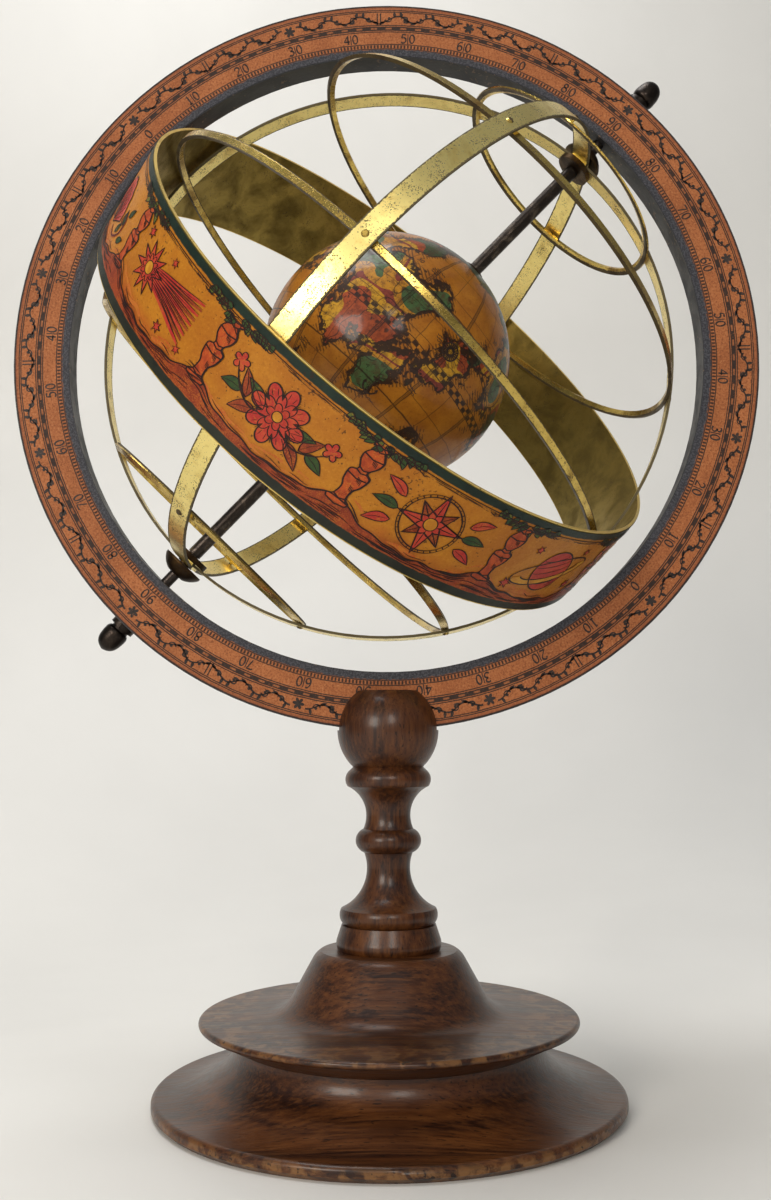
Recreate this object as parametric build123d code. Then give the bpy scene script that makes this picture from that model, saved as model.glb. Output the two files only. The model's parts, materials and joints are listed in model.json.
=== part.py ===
from build123d import *
from math import cos, radians, sin, sqrt
import os

# Armillary sphere on a turned wooden stand. A flat meridian ring stands in a saw slot in the ball of a
# turned stem. A rod crosses the ring at the latitude angle. It carries a printed globe, and round the
# globe a cage of brass hoops that spins between two domed washers. Sizes are in millimetres, the origin
# is the middle of the foot's underside, +Z is up, and the ring's printed face looks along -Y.

# Cage of hoops: the colures cross at the poles, the parallels lie inside them
hoop_radius = 91.2
hoop_width = 2.4
hoop_thickness = 1.1
colure_width = 6.8
colure_thickness = 0.8
arctic_latitude = 65.6
tropic_latitude = 34.5
equator_latitude = -1.0
antarctic_latitude = -63.5
cage_rest_turn = -3.5

# Zodiac band, a wide hoop outside the colures, with its printed paper
band_tilt = 31.0
band_turn = 3.0
band_drop = 0.85
band_width = 33.2
band_thickness = 0.9
band_gap = 0.7
band_paper_margin = 0.5
paper_thickness = 0.2

# Meridian ring round the cage, with a printed paper on each face
ring_clearance = 5.72
ring_width = 18.0
ring_thickness = 8.8
ring_paper_margin = 0.3
latitude_angle = 46.0

# Fits
seat_clearance = 0.05
running_clearance = 0.08
slot_clearance = 0.1
end_float = 0.2

# Rivets and pins of the cage
rivet_shank_radius = 0.6
rivet_head_radius = 1.1
rivet_crown_radius = 0.7
rivet_head_height = 0.45
shank_sides = 6
head_sides = 12

# Rod, its sleeves, and the acorn finials on its ends
rod_radius = 1.8
sleeve_radius = 2.25
finial_flange_radius = 4.0
finial_flange_height = 1.6
finial_neck_radius = 2.9
finial_neck_height = 0.8
finial_acorn_radius = 3.9
finial_acorn_height = 8.2
finial_acorn_rise = 2.8
finial_bore_depth = 6.5
rod_end_gap = 0.5

# Flanged pole bushes that join the colures, and the domed washers outside them
bush_flange_radius = 6.0
bush_flange_height = 1.8
bush_neck_radius = 2.7
bush_neck_rise = 0.3
dome_radius = 7.0
dome_top_radius = 2.9
dome_rim_height = 0.7
dome_height = 4.2

# Globe, its paper gores and its polar caps
globe_radius = 40.0
gore_thickness = 0.2
globe_cap_radius = 4.6
globe_cap_rise = 1.4
globe_cap_depth = 1.2
globe_cap_bevel = 0.6

# Foot, the lower disc
foot_radius = 71.4
foot_sole_inset = 1.8
foot_edge_height = 4.4
foot_edge_round = 1.6
foot_shoulder_height = 11.4
foot_height = 18.6
neck_radius = 47.0
neck_cove = 3.4

# Plinth, the upper disc with its cone; rises are from its underside
plinth_radius = 57.8
plinth_edge_rise = 7.1
plinth_edge_thickness = 2.2
cone_foot_radius = 29.8
cone_foot_rise = 12.4
cone_sweep_radius = 9.0
cone_sweep_turn = 56.0
cone_top_radius = 23.4
cone_edge_round = 2.4
plinth_height = 26.2

# Collar between the plinth and the stem
collar_radius = 16.2
collar_top_radius = 14.6
collar_height = 7.6
collar_edge_inset = 0.6
collar_edge_height = 3.4

# Turned stem, from its tenon up to the ball; rises are from its shoulder on the collar
tenon_radius = 6.0
tenon_depth = 16.0
skirt_radius = 15.2
skirt_foot_radius = 13.8
skirt_rise = 3.0
skirt_edge = 1.9
skirt_edge_inset = 0.5
lower_waist_radius = 6.7
lower_waist_rise = 17.2
bead_radius = 10.2
bead_rise = 25.4
bead_half_height = 3.6
bead_flare = 0.9
upper_waist_radius = 6.9
upper_waist_rise = 33.2
cup_radius = 13.4
cup_edge = 1.4
cup_height = 4.6
cup_lip = 0.9
ball_radius = 15.9
ball_top_radius = 10.2
ball_foot_radius = 11.0
ball_rise = 59.6
slot_depth = 12.3

# Screw that holds the foot, plinth and stem together
screw_radius = 2.0
screw_head_radius = 4.5
screw_head_height = 2.6
screw_head_recess = 3.0
screw_bite = 14.0

# Radii of the cage, the band and the ring, each worked out from the one inside it
crossing_gap = colure_width**2 / (8 * hoop_radius) + seat_clearance
inner_colure_radius = hoop_radius + seat_clearance
outer_colure_radius = inner_colure_radius + colure_thickness + crossing_gap
cage_radius = outer_colure_radius + colure_thickness
band_inner_radius = cage_radius + band_gap
band_outer_radius = band_inner_radius + band_thickness
band_corner_radius = sqrt((band_outer_radius + paper_thickness)**2 + (band_width / 2 + band_drop)**2)
hole_reach = 2 * hoop_thickness
ring_inner_radius = band_corner_radius + ring_clearance
ring_outer_radius = ring_inner_radius + ring_width

# Places along the rod, from the cage's centre
bush_face = sqrt(inner_colure_radius**2 - bush_flange_radius**2) - seat_clearance
bush_end = cage_radius + bush_neck_rise
dome_seat = bush_end + end_float
globe_cap_top = globe_radius + globe_cap_rise

# Heights of the stand, from the floor up
collar_bottom_height = foot_height + plinth_height
collar_top_height = collar_bottom_height + collar_height
tenon_bottom_height = collar_bottom_height - tenon_depth
ball_centre_height = collar_top_height + ball_rise
ball_top_height = ball_centre_height + sqrt(ball_radius**2 - ball_top_radius**2)
ball_foot_height = ball_centre_height - sqrt(ball_radius**2 - ball_foot_radius**2)
ring_centre_height = ball_top_height - slot_depth + seat_clearance + ring_outer_radius

# Frames: the ring's face looks along its +Z, and the pole is the +Z of the axis, cage and band frames
centre = Vector(0, 0, ring_centre_height)
polar_direction = Vector(cos(radians(latitude_angle)), 0, sin(radians(latitude_angle)))
ring_frame = Plane(origin=centre, x_dir=(1, 0, 0), z_dir=(0, -1, 0)).location
axis_frame = Plane(origin=centre, x_dir=(0, -1, 0), z_dir=polar_direction).location
cage_frame = axis_frame * Rot(0, 0, cage_rest_turn)
band_frame = cage_frame * Rot(0, 0, band_turn) * Rot(0, band_tilt, 0) * Pos(0, 0, -band_drop)

parallels = {
    "arctic_circle": arctic_latitude,
    "tropic_of_cancer": tropic_latitude,
    "equator_hoop": equator_latitude,
    "tropic_of_capricorn": -tropic_latitude,
    "antarctic_circle": antarctic_latitude,
}


def tube(outer_radius, inner_radius, low, high):
    """A round tube about local Z, from low to high."""
    middle = (low + high) / 2
    wall = Cylinder(outer_radius, high - low) - Cylinder(inner_radius, high - low)
    return Pos(0, 0, middle) * wall


def turned(outline):
    """A solid of revolution about Z, from a closed outline drawn in the XZ plane."""
    return revolve(Plane.XZ * make_face(outline), Axis.Z)


def save(shape, name):
    """Writes one piece, or one group of alike pieces, as its own STEP file."""
    solids = shape.solids()
    whole = solids[0] if len(solids) == 1 else Compound(children=list(solids))
    export_step(whole, f"parts/{name}.step")


def make_foot():
    """Lower disc: a thin edge and a hollow top that curves up to a neck, bored for the screw."""
    sole = (foot_radius - foot_sole_inset, 0)
    edge_low = (foot_radius, foot_edge_round)
    edge_high = (foot_radius, foot_edge_height - foot_edge_round)
    edge_top = (foot_radius - foot_edge_round, foot_edge_height)
    shoulder = (neck_radius + neck_cove, foot_shoulder_height)
    hollow = TangentArc(edge_top, shoulder, tangent=(-1, 0))
    profile = [
        Line((0, 0), sole),
        Line(sole, edge_low),
        Line(edge_low, edge_high),
        TangentArc(edge_high, edge_top, tangent=(0, 1)),
        hollow,
        TangentArc(shoulder, (neck_radius, foot_height), tangent=hollow % 1),
        Line((neck_radius, foot_height), (0, foot_height)),
        Line((0, foot_height), (0, 0)),
    ]
    recess_radius = screw_head_radius + seat_clearance
    recess = Pos(0, 0, screw_head_recess / 2) * Cylinder(recess_radius, screw_head_recess)
    sink = Pos(0, 0, screw_head_recess + screw_head_height / 2) * Cone(
        recess_radius, screw_radius + seat_clearance, screw_head_height)
    hole = Pos(0, 0, foot_height / 2) * Cylinder(screw_radius + seat_clearance, foot_height)
    return turned(profile) - recess - sink - hole


def make_plinth():
    """Upper disc: a thin undercut edge and a hollow brim that sweeps up into a cone, bored for the tenon."""
    rim_radius = plinth_radius - plinth_edge_thickness / 2
    edge_top = foot_height + plinth_edge_rise
    edge_low = edge_top - plinth_edge_thickness
    cone_foot = (cone_foot_radius, foot_height + cone_foot_rise)
    cone_edge = (cone_top_radius, collar_bottom_height - cone_edge_round)
    cone_top = (cone_top_radius - cone_edge_round, collar_bottom_height)
    cone_side = Line(cone_edge, cone_foot)
    sweep = JernArc(cone_foot, cone_side % 1, cone_sweep_radius, cone_sweep_turn)
    profile = [
        Line((0, foot_height), (neck_radius, foot_height)),
        Line((neck_radius, foot_height), (rim_radius, edge_low)),
        ThreePointArc((rim_radius, edge_low), (plinth_radius, (edge_low + edge_top) / 2),
                      (rim_radius, edge_top)),
        TangentArc(sweep @ 1, (rim_radius, edge_top), tangent=sweep % 1),
        sweep,
        cone_side,
        TangentArc(cone_edge, cone_top, tangent=cone_side % 0 * -1),
        Line(cone_top, (0, collar_bottom_height)),
        Line((0, collar_bottom_height), (0, foot_height)),
    ]
    socket = Pos(0, 0, collar_bottom_height - tenon_depth / 2) * Cylinder(
        tenon_radius + seat_clearance, tenon_depth)
    hole = Pos(0, 0, foot_height + plinth_height / 2) * Cylinder(
        screw_radius + seat_clearance, plinth_height)
    return turned(profile) - socket - hole


def make_collar():
    """Loose turned ring between the stem and the plinth."""
    bore = tenon_radius + seat_clearance
    foot = (collar_radius - collar_edge_inset, collar_bottom_height)
    middle = (collar_radius, collar_bottom_height + collar_edge_height / 2)
    edge = (collar_radius - collar_edge_inset / 3, collar_bottom_height + collar_edge_height)
    profile = [
        Line((bore, collar_bottom_height), foot),
        ThreePointArc(foot, middle, edge),
        Line(edge, (collar_top_radius, collar_top_height)),
        Line((collar_top_radius, collar_top_height), (bore, collar_top_height)),
        Line((bore, collar_top_height), (bore, collar_bottom_height)),
    ]
    return turned(profile)


def make_stem():
    """Turned stem: tenon, skirt, two waists with a bead between, cup, and the slotted ball."""
    seat = collar_top_height
    skirt_foot = (skirt_foot_radius, seat)
    skirt_top = (skirt_radius - skirt_edge_inset, seat + skirt_rise + skirt_edge)
    lower_waist = (lower_waist_radius, seat + lower_waist_rise)
    bead_low = (lower_waist_radius + bead_flare, seat + bead_rise - bead_half_height)
    bead_top = (upper_waist_radius + bead_flare, seat + bead_rise + bead_half_height)
    upper_waist = (upper_waist_radius, seat + upper_waist_rise)
    cup_foot = (cup_radius - cup_edge / 2, ball_foot_height - cup_height - cup_edge)
    cup_side = (cup_radius, ball_foot_height - cup_height + cup_edge / 2)
    cup_top = (ball_foot_radius + cup_lip, ball_foot_height - cup_lip)
    profile = [
        Line((0, tenon_bottom_height), (tenon_radius, tenon_bottom_height)),
        Line((tenon_radius, tenon_bottom_height), (tenon_radius, seat)),
        Line((tenon_radius, seat), skirt_foot),
        ThreePointArc(skirt_foot, (skirt_radius, seat + skirt_rise), skirt_top),
        TangentArc(lower_waist, skirt_top, tangent=(0, -1)),
        TangentArc(lower_waist, bead_low, tangent=(0, 1)),
        ThreePointArc(bead_low, (bead_radius, seat + bead_rise), bead_top),
        TangentArc(upper_waist, bead_top, tangent=(0, -1)),
        TangentArc(upper_waist, cup_foot, tangent=(0, 1)),
        ThreePointArc(cup_foot, cup_side, cup_top),
        Line(cup_top, (ball_foot_radius, ball_foot_height)),
        ThreePointArc((ball_foot_radius, ball_foot_height), (ball_radius, ball_centre_height),
                      (ball_top_radius, ball_top_height)),
        Line((ball_top_radius, ball_top_height), (0, ball_top_height)),
        Line((0, ball_top_height), (0, tenon_bottom_height)),
    ]
    slot_width = ring_thickness + 2 * (paper_thickness + slot_clearance)
    slot = Pos(0, 0, ball_top_height - slot_depth / 2) * Box(3 * ball_radius, slot_width, slot_depth)
    pilot = Pos(0, 0, tenon_bottom_height + screw_bite / 2) * Cylinder(
        screw_radius + seat_clearance, screw_bite)
    return turned(profile) - slot - pilot


def make_foot_screw():
    """Countersunk wood screw, head up inside the foot's recess, its tip in the tenon."""
    head = Pos(0, 0, screw_head_recess + screw_head_height / 2) * Cone(
        screw_head_radius, screw_radius, screw_head_height)
    low = screw_head_recess + screw_head_height
    high = tenon_bottom_height + screw_bite - seat_clearance
    return head + Pos(0, 0, (low + high) / 2) * Cylinder(screw_radius, high - low)


def make_meridian_ring():
    """Flat black ring, drilled through its rim along the rod."""
    ring = ring_frame * tube(ring_outer_radius, ring_inner_radius, -ring_thickness / 2, ring_thickness / 2)
    drill = axis_frame * Cylinder(rod_radius + seat_clearance, 3 * ring_outer_radius)
    return ring - drill


def make_ring_paper(side):
    """Printed annulus glued to one face of the ring; side is 1 for the front and -1 for the back."""
    low = ring_thickness / 2
    sheet = tube(ring_outer_radius - ring_paper_margin, ring_inner_radius + ring_paper_margin,
                 low, low + paper_thickness)
    return ring_frame * (sheet if side > 0 else mirror(sheet, Plane.XY))


def make_rod():
    """Polar rod, through the ring and up inside both finials."""
    reach = ring_outer_radius + finial_bore_depth - rod_end_gap
    return axis_frame * Cylinder(rod_radius, 2 * reach)


def at_pole(shape, pole):
    """Places a shape built about +Z at the north pole (1) or mirrored at the south pole (-1)."""
    return axis_frame * (shape if pole > 0 else mirror(shape, Plane.XY))


def make_finial(pole):
    """Acorn nut on the rod's end: a flange on the ring's rim, a short neck and the acorn."""
    base = ring_outer_radius + seat_clearance
    neck_low = base + finial_flange_height
    neck_high = neck_low + finial_neck_height
    tip = neck_high + finial_acorn_height
    widest = neck_high + finial_acorn_rise
    profile = [
        Line((0, base), (finial_flange_radius, base)),
        Line((finial_flange_radius, base), (finial_flange_radius, neck_low)),
        Line((finial_flange_radius, neck_low), (finial_neck_radius, neck_low)),
        Line((finial_neck_radius, neck_low), (finial_neck_radius, neck_high)),
        Spline((finial_neck_radius, neck_high), (finial_acorn_radius, widest), (0, tip),
               tangents=[(1, 0.4), (-1, 0.25)]),
        Line((0, tip), (0, base)),
    ]
    bore = Pos(0, 0, base + finial_bore_depth / 2) * Cylinder(
        rod_radius + seat_clearance, finial_bore_depth)
    return at_pole(turned(profile) - bore, pole)


def make_domed_washer(pole):
    """Brass washer, flat towards the cage and domed towards the ring."""
    high = dome_seat + dome_height
    bore_radius = rod_radius + seat_clearance
    profile = [
        Line((bore_radius, dome_seat), (dome_radius, dome_seat)),
        Line((dome_radius, dome_seat), (dome_radius, dome_seat + dome_rim_height)),
        ThreePointArc((dome_radius, dome_seat + dome_rim_height),
                      (0.72 * dome_radius, dome_seat + 0.72 * dome_height), (dome_top_radius, high)),
        Line((dome_top_radius, high), (bore_radius, high)),
        Line((bore_radius, high), (bore_radius, dome_seat)),
    ]
    return at_pole(turned(profile), pole)


def make_sleeve(pole):
    """Spacer tube on the rod between a globe cap and a pole bush."""
    low = globe_cap_top + end_float
    high = bush_face - bush_flange_height - end_float
    return at_pole(tube(sleeve_radius, rod_radius + seat_clearance, low, high), pole)


def make_pole_bush(pole):
    """Flanged bush: the flange lies under the crossed colures and the neck passes up through both."""
    bore_radius = rod_radius + running_clearance
    flange = tube(bush_flange_radius, bore_radius, bush_face - bush_flange_height, bush_face)
    neck = tube(bush_neck_radius, bore_radius, bush_face, bush_end)
    return at_pole(flange + neck, pole)


def make_colure(radius, turn):
    """Flat strip bent to a full circle through both poles, with a hole at each for the bush."""
    strip = Rot(90, 0, 0) * tube(radius + colure_thickness, radius, -colure_width / 2, colure_width / 2)
    hole = Cylinder(bush_neck_radius + seat_clearance, 3 * radius)
    return cage_frame * Rot(0, 0, turn) * (strip - hole)


def make_parallel(latitude):
    """Hoop at one latitude, its flat section laid against the inside of the colures."""
    section = Rectangle(hoop_thickness, hoop_width)
    middle = hoop_radius - hoop_thickness / 2 - hoop_width**2 / (8 * hoop_radius)
    face = Rot(0, -latitude, 0) * Pos(middle, 0, 0) * Plane.XZ.location * section
    return cage_frame * revolve(face, Axis.Z)


def peg(radius, low, high, sides=shank_sides, top_radius=None):
    """Small fastener stock along +X. It has a few flat sides, which keeps the many copies light."""
    foot = Plane.YZ.offset(low) * RegularPolygon(radius, sides)
    if top_radius is None:
        return extrude(foot, high - low)
    top = Plane.YZ.offset(high) * RegularPolygon(top_radius, sides)
    return loft([foot, top])


def make_rivet(outer_face, inner_face):
    """Rivet along +X, its head on the outside and its tail level with the hoop's inner face."""
    shank = peg(rivet_shank_radius, inner_face, outer_face)
    head = peg(rivet_head_radius, outer_face, outer_face + rivet_head_height, head_sides, rivet_crown_radius)
    return shank + head


def strip_face(quarter):
    """Radius of the outer face of the colure at a quarter turn: the outer strip is at 0 and 2."""
    return (outer_colure_radius if quarter % 2 == 0 else inner_colure_radius) + colure_thickness


def crossings():
    """Where a parallel crosses a colure: (quarter, latitude). The band's pins take the equinoxes."""
    for quarter in range(4):
        for name, latitude in parallels.items():
            if name != "equator_hoop" or quarter % 2 == 0:
                yield quarter, latitude


def pin_crossings():
    """Where the band crosses a colure: (quarter, latitude)."""
    return [(0, -band_tilt), (1, equator_latitude), (2, band_tilt), (3, equator_latitude)]


def at_crossing(quarter, latitude):
    """Frame at a crossing, with the outward direction along its +X."""
    return cage_frame * Rot(0, 0, 90 * quarter) * Rot(0, -latitude, 0)


def make_hoop_rivets():
    """One rivet at each crossing of a parallel with a colure, apart from the equinoxes."""
    inner = hoop_radius - hoop_thickness
    placed = [at_crossing(quarter, latitude) * make_rivet(strip_face(quarter), inner)
              for quarter, latitude in crossings()]
    return Compound(children=placed)


def rivet_holes():
    """The rivets' shank holes, to cut from the hoops and the colures."""
    hole = peg(rivet_shank_radius + seat_clearance, hoop_radius - hole_reach, hoop_radius + hole_reach)
    return [at_crossing(quarter, latitude) * hole for quarter, latitude in crossings()]


def make_band_pins():
    """Four pins that hold the band off the colures: a collar in the gap and a shank through both.

    The two at the equinoxes also go through the equator hoop.
    """
    pins = []
    for quarter, latitude in pin_crossings():
        face = strip_face(quarter)
        low = face - colure_thickness if quarter % 2 == 0 else hoop_radius - hoop_thickness
        high = band_outer_radius - seat_clearance
        shank = peg(rivet_shank_radius, low, high)
        collar = peg(rivet_head_radius, face + seat_clearance, band_inner_radius - seat_clearance, head_sides)
        pins.append(at_crossing(quarter, latitude) * (shank + collar))
    return Compound(children=pins)


def band_pin_holes():
    """Holes for the band's pins, through the band, the colures and the equator hoop."""
    hole = peg(rivet_shank_radius + seat_clearance, hoop_radius - hole_reach, band_outer_radius + hole_reach)
    return [at_crossing(quarter, latitude) * hole for quarter, latitude in pin_crossings()]


def make_zodiac_band():
    """Wide brass hoop, tilted to the equator."""
    return band_frame * tube(band_outer_radius, band_inner_radius, -band_width / 2, band_width / 2)


def make_zodiac_paper():
    """Printed strip glued round the band's outside."""
    half = band_width / 2 - band_paper_margin
    return band_frame * tube(band_outer_radius + paper_thickness, band_outer_radius, -half, half)


def polar_pair(shape):
    """A shape built about +Z with its mirror image at the other pole."""
    return [shape, mirror(shape, Plane.XY)]


def make_globe():
    """Wooden ball bored along the rod, with a recess at each pole for its cap."""
    bore = Cylinder(rod_radius + running_clearance, 3 * globe_radius)
    recess = Pos(0, 0, globe_radius) * Cylinder(globe_cap_radius + seat_clearance, 2 * globe_cap_depth)
    return cage_frame * (Sphere(globe_radius - gore_thickness) - bore - polar_pair(recess))


def make_globe_gores():
    """Skin of printed gores glued over the ball, open round the polar caps."""
    opening = Cylinder(globe_cap_radius + seat_clearance, 3 * globe_radius)
    return cage_frame * (Sphere(globe_radius) - Sphere(globe_radius - gore_thickness) - opening)


def make_globe_cap(pole):
    """Small boss let into the globe's pole."""
    low = globe_radius - globe_cap_depth
    cap = tube(globe_cap_radius, rod_radius + running_clearance, low, globe_cap_top)
    rim = cap.edges().filter_by(GeomType.CIRCLE).group_by(Axis.Z)[-1].sort_by(SortBy.RADIUS)[-1]
    return at_pole(chamfer(rim, globe_cap_bevel), pole)


os.makedirs("parts", exist_ok=True)

save(make_foot(), "foot_disc")
save(make_plinth(), "plinth_disc")
save(make_collar(), "stem_collar")
save(make_stem(), "turned_stem")
save(make_foot_screw(), "foot_screw")
save(make_meridian_ring(), "meridian_ring")
save(make_ring_paper(1), "meridian_paper_front")
save(make_ring_paper(-1), "meridian_paper_back")
save(make_rod(), "polar_rod")

for pole, pole_name in ((1, "north"), (-1, "south")):
    save(make_finial(pole), f"{pole_name}_finial")
    save(make_domed_washer(pole), f"{pole_name}_domed_washer")
    save(make_sleeve(pole), f"{pole_name}_sleeve")
    save(make_pole_bush(pole), f"{pole_name}_pole_bush")
    save(make_globe_cap(pole), f"globe_{pole_name}_cap")

shank_holes = rivet_holes()
pin_holes = band_pin_holes()
save(make_colure(outer_colure_radius, 0) - shank_holes - pin_holes, "solstitial_colure")
save(make_colure(inner_colure_radius, 90) - shank_holes - pin_holes, "equinoctial_colure")

for parallel_name, latitude in parallels.items():
    save(make_parallel(latitude) - shank_holes - pin_holes, parallel_name)

save(make_hoop_rivets(), "hoop_rivets")
save(make_zodiac_band() - pin_holes, "zodiac_band")
save(make_zodiac_paper(), "zodiac_paper")
save(make_band_pins(), "band_pins")
save(make_globe(), "globe_ball")
save(make_globe_gores(), "globe_gores")
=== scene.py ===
import json
import math
import random

import bmesh
import bpy
import numpy as np
from mathutils import Matrix, Vector


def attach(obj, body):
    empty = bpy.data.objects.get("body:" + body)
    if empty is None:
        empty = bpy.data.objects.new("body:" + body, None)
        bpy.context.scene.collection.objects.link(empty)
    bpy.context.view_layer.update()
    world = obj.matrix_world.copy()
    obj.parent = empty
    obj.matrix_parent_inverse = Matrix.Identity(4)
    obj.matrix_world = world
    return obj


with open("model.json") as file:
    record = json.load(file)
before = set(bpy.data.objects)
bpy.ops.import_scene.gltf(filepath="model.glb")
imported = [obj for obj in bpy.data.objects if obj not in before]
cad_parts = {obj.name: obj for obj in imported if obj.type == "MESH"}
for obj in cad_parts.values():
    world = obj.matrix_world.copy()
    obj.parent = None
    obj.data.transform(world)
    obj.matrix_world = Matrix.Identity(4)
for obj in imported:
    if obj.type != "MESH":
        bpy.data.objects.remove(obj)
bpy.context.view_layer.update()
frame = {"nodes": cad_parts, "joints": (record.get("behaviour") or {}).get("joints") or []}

# Armillary sphere: print, brass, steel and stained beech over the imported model. Lengths in the
# dictionaries are millimetres, and mm turns them into the scene's metres.
mm = 0.001
dice = random.Random(21)


# Places. The ring's frame has the pole along its X and its front face along its Z. The other frames
# have the pole along their Z.
def frameOf(origin, xAxis, zAxis):
    yAxis = zAxis.cross(xAxis)
    made = Matrix((xAxis, yAxis, zAxis)).transposed().to_4x4()
    made.translation = origin
    return made


spin = frame["joints"][0]
centre = Vector(spin["pos_m"])
pole = Vector(spin["axis"]).normalized()
forward = Vector((0, -1, 0))
cageTurn = math.radians(-3.5)
bandTurn = math.radians(3.0)
bandTilt = math.radians(31.0)
bandDrop = 0.85 * mm

axisFrame = frameOf(centre, forward, pole)
cageFrame = axisFrame @ Matrix.Rotation(cageTurn, 4, "Z")
bandFrame = (cageFrame @ Matrix.Rotation(bandTurn, 4, "Z") @ Matrix.Rotation(bandTilt, 4, "Y")
             @ Matrix.Translation((0, 0, -bandDrop)))
frontFrame = frameOf(centre, pole, forward)
backFrame = frameOf(centre, pole, -forward)
floorFrame = Matrix.Identity(4)


# Node wiring

class Wires:
    def __init__(self, tree):
        self.tree = tree

    def node(self, kind, **settings):
        made = self.tree.nodes.new(kind)
        for name, value in settings.items():
            setattr(made, name, value)
        return made

    def feed(self, socket, value):
        if isinstance(value, bpy.types.NodeSocket):
            self.tree.links.new(value, socket)
        else:
            socket.default_value = value

    def math(self, operation, *values):
        made = self.node("ShaderNodeMath", operation=operation)
        for socket, value in zip(made.inputs, values):
            self.feed(socket, value)
        return made.outputs[0]

    def vector(self, operation, *values):
        made = self.node("ShaderNodeVectorMath", operation=operation)
        for socket, value in zip(made.inputs, values):
            self.feed(socket, value)
        return made.outputs["Value" if operation in ("DOT_PRODUCT", "LENGTH") else "Vector"]

    def mix(self, share, first, second, blend="MIX"):
        made = self.node("ShaderNodeMix", data_type="RGBA", blend_type=blend)
        for socket, value in zip((made.inputs[0], made.inputs[6], made.inputs[7]), (share, first, second)):
            self.feed(socket, value)
        return made.outputs[2]

    def noise(self, where, scale, detail=3.0, roughness=0.5, distortion=0.0):
        made = self.node("ShaderNodeTexNoise")
        self.feed(made.inputs["Vector"], where)
        self.feed(made.inputs["Scale"], scale)
        self.feed(made.inputs["Detail"], detail)
        self.feed(made.inputs["Roughness"], roughness)
        self.feed(made.inputs["Distortion"], distortion)
        return made.outputs["Fac"]

    def rise(self, value, low, high, start=0.0, end=1.0):
        made = self.node("ShaderNodeMapRange", interpolation_type="SMOOTHSTEP")
        for socket, given in zip(made.inputs, (value, low, high, start, end)):
            self.feed(socket, given)
        return made.outputs[0]

    def stripe(self, value, middle, width, soft):
        away = self.math("ABSOLUTE", self.math("SUBTRACT", value, middle))
        return self.rise(away, width / 2 - soft, width / 2 + soft, 1.0, 0.0)

    def both(self, first, second):
        return self.math("MULTIPLY", first, second)

    def either(self, first, second):
        return self.math("MAXIMUM", first, second)

    def stretch(self, where, scale):
        made = self.node("ShaderNodeMapping")
        self.feed(made.inputs["Vector"], where)
        made.inputs["Scale"].default_value = scale
        return made.outputs[0]

    def relief(self, height, distance, strength=1.0):
        made = self.node("ShaderNodeBump")
        self.feed(made.inputs["Height"], height)
        made.inputs["Distance"].default_value = distance
        made.inputs["Strength"].default_value = strength
        return made.outputs[0]

    def spot(self):
        return self.node("ShaderNodeTexCoord").outputs["Object"]

    def placed(self, place):
        # Coordinates in one of the frames above, in millimetres
        away = self.vector("SUBTRACT", self.spot(), tuple(place.translation))
        columns = place.to_3x3().transposed()
        return [self.math("DIVIDE", self.vector("DOT_PRODUCT", away, tuple(axis)), mm) for axis in columns]

    def use(self, group, output=0, **inputs):
        made = self.node("ShaderNodeGroup")
        made.node_tree = group
        for name, value in inputs.items():
            self.feed(made.inputs[name], value)
        return made.outputs[output]


def paint(code):
    channels = [int(code[i:i + 2], 16) / 255 for i in (1, 3, 5)]
    return tuple(c / 12.92 if c <= 0.04045 else ((c + 0.055) / 1.055) ** 2.4 for c in channels) + (1.0,)


def newGroup(name, inputs, output):
    tree = bpy.data.node_groups.new(name, "ShaderNodeTree")
    for socketName, kind, value in inputs:
        socket = tree.interface.new_socket(socketName, in_out="INPUT", socket_type=kind)
        if value is not None:
            socket.default_value = value
    tree.interface.new_socket(output, in_out="OUTPUT", socket_type="NodeSocketFloat")
    wires = Wires(tree)
    return tree, wires, wires.node("NodeGroupInput").outputs, wires.node("NodeGroupOutput").inputs[0]


def makeCloudedTone():
    # Soft blotches between 0 and 1, as in tarnish, stain and aged varnish
    tree, wires, given, out = newGroup("cloudedTone", [
        ("Vector", "NodeSocketVector", None), ("Scale", "NodeSocketFloat", 60.0),
        ("Low", "NodeSocketFloat", 0.35), ("High", "NodeSocketFloat", 0.65)], "Tone")
    blotch = wires.noise(given["Vector"], given["Scale"], 5.0, 0.6, 0.4)
    wires.feed(out, wires.rise(blotch, given["Low"], given["High"]))
    return tree


def makeSmallPits():
    # Small dark pits in clusters
    tree, wires, given, out = newGroup("smallPits", [
        ("Vector", "NodeSocketVector", None), ("Scale", "NodeSocketFloat", 1500.0),
        ("Cover", "NodeSocketFloat", 0.5)], "Pits")
    fine = wires.noise(given["Vector"], given["Scale"], 2.0, 0.6)
    patch = wires.noise(given["Vector"], wires.math("MULTIPLY", given["Scale"], 0.07), 3.0, 0.6)
    level = wires.math("SUBTRACT", 0.86, wires.math("MULTIPLY", patch, given["Cover"]))
    wires.feed(out, wires.rise(fine, level, wires.math("ADD", level, 0.05)))
    return tree


def makeWornInk():
    # 1 where ink has taken, less in specks and rubbed places
    tree, wires, given, out = newGroup("wornInk", [
        ("Vector", "NodeSocketVector", None), ("Scale", "NodeSocketFloat", 2600.0),
        ("Wear", "NodeSocketFloat", 0.5)], "Ink")
    speck = wires.noise(given["Vector"], given["Scale"], 2.0, 0.7)
    rubbed = wires.noise(given["Vector"], wires.math("MULTIPLY", given["Scale"], 0.08), 3.0, 0.6)
    both = wires.math("ADD", wires.math("MULTIPLY", speck, 0.65), wires.math("MULTIPLY", rubbed, 0.35))
    low = wires.math("MULTIPLY", given["Wear"], 0.56)
    wires.feed(out, wires.rise(both, low, wires.math("ADD", low, 0.16)))
    return tree


cloudedTone = makeCloudedTone()
smallPits = makeSmallPits()
wornInk = makeWornInk()


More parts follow.
